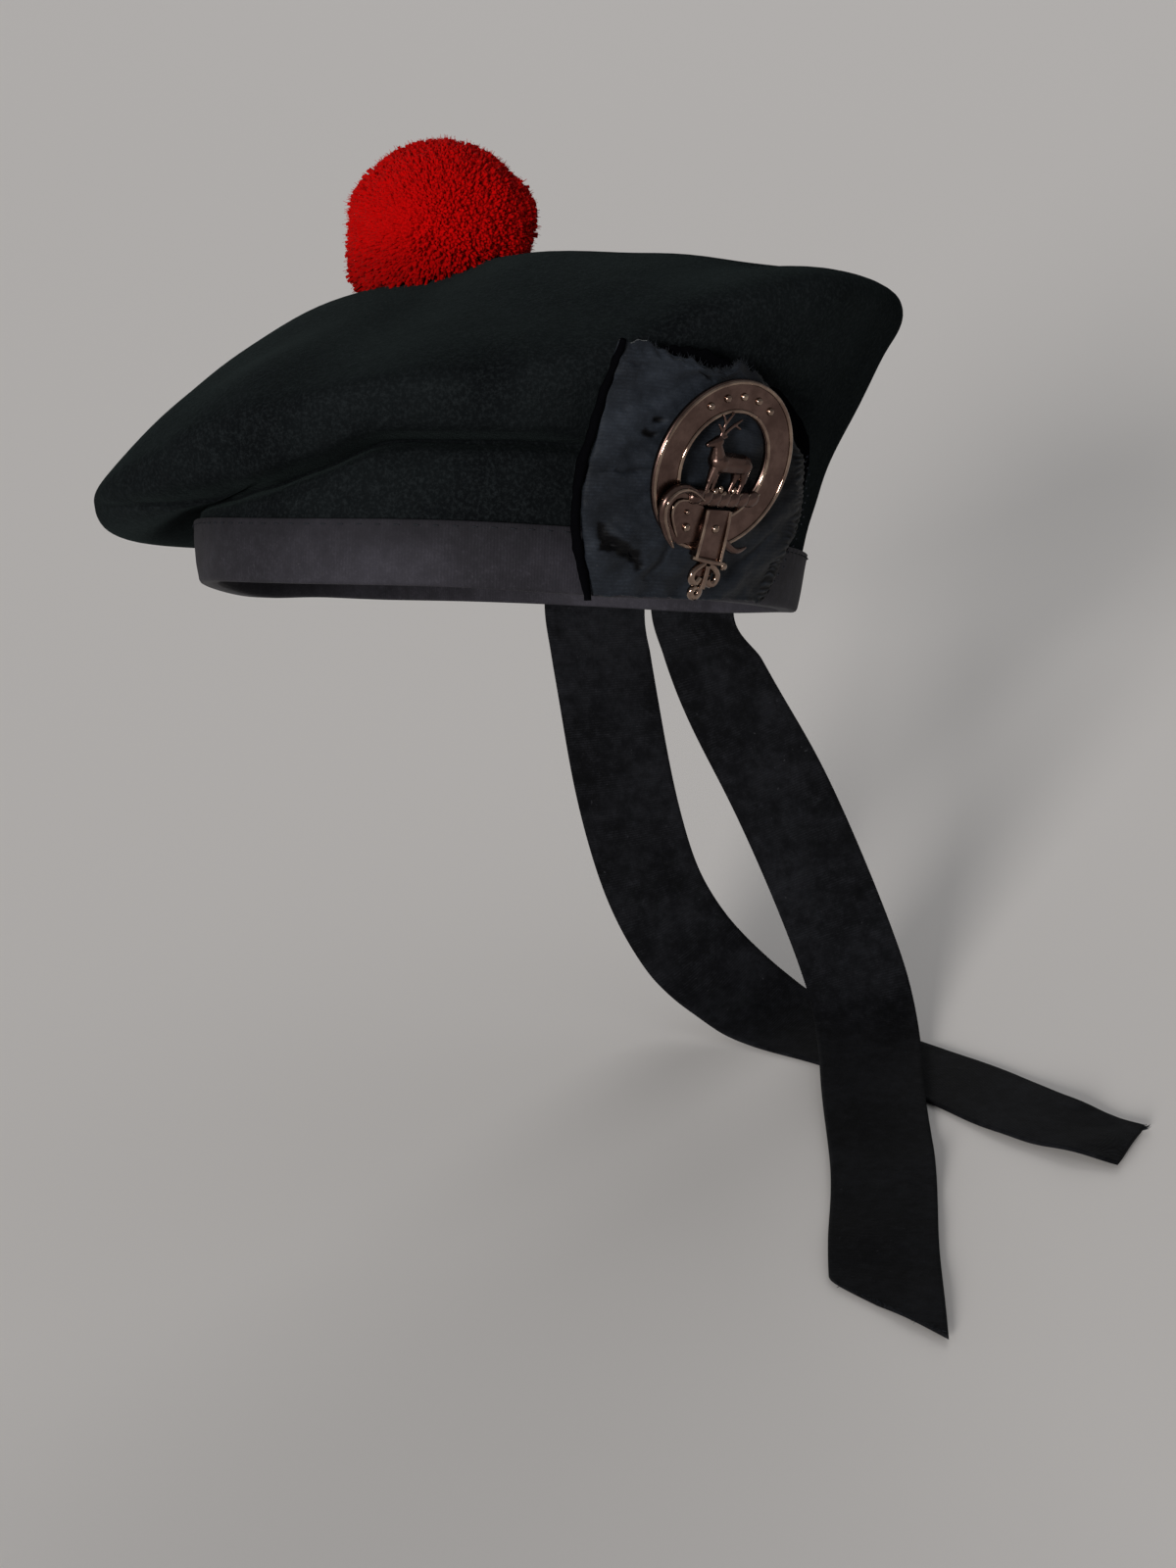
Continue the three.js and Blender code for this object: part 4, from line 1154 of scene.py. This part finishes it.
def rows_along(bm):
    """A tail's vertices in rows, from its top end to its free end."""
    tops = sorted(bm.verts, key=lambda v: -v.co.z)[:TAIL_ROW]
    rows, seen = [tops], set(tops)
    while rows[-1]:
        beyond = (e.other_vert(v) for v in rows[-1] for e in v.link_edges)
        rows.append(list(dict.fromkeys(v for v in beyond if v not in seen)))
        seen.update(rows[-1])
    return rows[:-1]


def frayed_end(corners, way, seed):
    """Loose threads along the cut between a ribbon's last two corners."""
    rng = random.Random(seed)
    hair = strand(3, 3, 0.4, 0.9)
    pairs = ((a, b) for a in corners for b in corners)
    left, right = max(pairs, key=lambda ends: (ends[0] - ends[1]).length)
    way = way.normalized()
    places = []
    for _ in range(TAIL_FRAYS):
        start = left.lerp(right, rng.uniform(0.05, 0.95)) - way * 1.1 * MM
        start.z += 0.6 * MM
        aim = way + Vector((rng.gauss(0, 0.35), rng.gauss(0, 0.35), rng.uniform(0, 0.35)))
        long = rng.uniform(0.6, 1.8) if rng.random() < 0.8 else rng.uniform(1.8, 3.4)
        fine = rng.uniform(0.1, 0.2)
        places.append(pointing(start, aim, long * MM, fine * MM, rng.uniform(0, 6)))
    return repeated(hair, places)


def lay_on_binding(mesh):
    """Curves a tail's top end round the binding that it is sewn to."""
    at, facing = unworn(points_of(mesh)), unworn(points_of(mesh, "normal")) * MM
    angle = angle_of(at)
    outwards = level(angle, 1, 0)
    outside = 0.5 + 0.5 * np.clip(1.5 * (facing * outwards).sum(-1), -1, 1)
    over = at[:, 2] - mouth_height(angle)
    out = GAP + BAND_THICK + 0.5 + TAIL_THICK * outside
    sewn = mouth_radius(angle, out, np.clip(over, 0, BAND_HEIGHT))
    stands_off = np.hypot(at[:, 0], at[:, 1]) - sewn
    held = eased(over, -14, 1)
    move(mesh, worn(at - (held * stands_off)[:, None] * outwards))


def measured(rows, middles):
    """How far each vertex of a tail's solid is along it and across it, in vertex order."""
    count = sum(len(row) for row in rows)
    along, across = np.zeros(count), np.zeros(count)
    gone, side = 0.0, None
    for i, (row, middle) in enumerate(zip(rows, middles)):
        before, after = middles[max(i - 1, 0)], middles[min(i + 1, len(rows) - 1)]
        gone += (middle - before).length
        way = (after - before).normalized()
        far = max(row, key=lambda v: (v.co - middle).length).co - middle
        edge = (far - way * far.dot(way)).normalized()
        side = edge if side is None or edge.dot(side) > 0 else -edge
        for v in row:
            along[v.index] = gone + (v.co - middle).dot(way)
            across[v.index] = (v.co - middle).dot(side)
    return along, across


def tail(node, name, seed):
    """One hanging end of the binding's ribbon, waved a little, with its frayed end."""
    bm = cad_quads(node)
    bm.verts.index_update()
    rows = rows_along(bm)
    middles = [sum((v.co for v in row), Vector()) / len(row) for row in rows]
    frays = frayed_end([v.co.copy() for v in rows[-1]], middles[-1] - middles[-2], seed)
    along, across = measured(rows, middles)
    mesh = mesh_from(bm)
    unroll(mesh, along / MM, across / MM)
    mesh = subdivided(mesh, 3, CORNER)
    at = points_of(mesh) / MM
    hangs = eased(-at[:, 2], 22, 45) * eased(at[:, 2], -160, -140)
    lies = eased(-at[:, 2], 155, 166) * eased(np.hypot(at[:, 0] - 75, at[:, 1] - 75), 45, 75)
    at[:, 1] += 0.6 * hangs * uneven(at, 70, seed, 6)
    at[:, 2] += 0.7 * lies * np.maximum(1 + uneven(at, 30, seed + 1, 6), 0)
    at[:, 2] = np.maximum(at[:, 2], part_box(node)[0].z / MM + 0.05)
    move(mesh, at * MM)
    lay_on_binding(mesh)
    finished(name + "_frays", frays, DARK_THREAD, "ribbon")
    piece = finished(name, mesh, TAIL_RIBBON, "ribbon", node)


# -------- stage, light and camera

FLOOR_SIZE = 30
CAMERA_AT = (0.3537, -0.7158, 0.2041)
CAMERA_TURN, CAMERA_PITCH, CAMERA_ROLL = (math.radians(angle) for angle in (25, 18.26, -4.85))


def stage():
    """A floor, a hair under the tails."""
    bm = bmesh.new()
    bmesh.ops.create_grid(bm, x_segments=1, y_segments=1, size=FLOOR_SIZE)
    bmesh.ops.translate(bm, vec=(0, 0, cad_box[0][2] - 0.2 * MM), verts=bm.verts)
    floor = placed("floor", mesh_from(bm))
    pale = Finish("pale_floor", Roughness=0.9, Specular_IOR_Level=0.1)
    pale.set(Base_Color=(0.85, 0.815, 0.785, 1))
    floor.data.materials.append(pale.material)


def sun(name, place, spread, strength, colour=(1, 1, 1)):
    """A distant light that shines from a place towards the bonnet."""
    light = bpy.data.lights.new(name, "SUN")
    light.angle = math.radians(spread)
    light.energy = strength
    light.color = colour
    towards = (-Vector(place)).to_track_quat("-Z", "Y")
    placed(name, light).rotation_euler = towards.to_euler()


def lights():
    world = bpy.data.worlds.new("studio")
    world.use_nodes = True
    sky = world.node_tree.nodes["Background"]
    sky.inputs["Color"].default_value = (0.95, 0.97, 1.0, 1)
    sky.inputs["Strength"].default_value = 0.22
    bpy.context.scene.world = world
    bpy.context.scene.view_settings.view_transform = "Standard"
    sun("key", (0.06, -0.95, 0.18), 14, 3.0, (1.0, 0.98, 0.96))
    sun("back", (-0.35, 1.3, 0.6), 40, 0.75)


def camera():
    """Looks down a little from the wearer's left front, and leans a little."""
    lens = bpy.data.cameras.new("camera")
    lens.lens = 67.5
    lens.sensor_width = 36
    holder = placed("camera", lens)
    aim = Matrix.Rotation(CAMERA_TURN, 4, "Z") @ Matrix.Rotation(math.pi / 2 - CAMERA_PITCH, 4, "X")
    aim = aim @ Matrix.Rotation(CAMERA_ROLL, 4, "Z")
    holder.matrix_world = Matrix.Translation(CAMERA_AT) @ aim
    bpy.context.scene.camera = holder


crown()
binding()
binding_stitches()
toorie()
cockade()
cockade_backing_and_shade()
cockade_roll()
cockade_threads()
badge()
tail("left_tail", "ribbon_tail_left", 51)
tail("right_tail", "ribbon_tail_right", 61)
badge_pin()
stage()
lights()
camera()
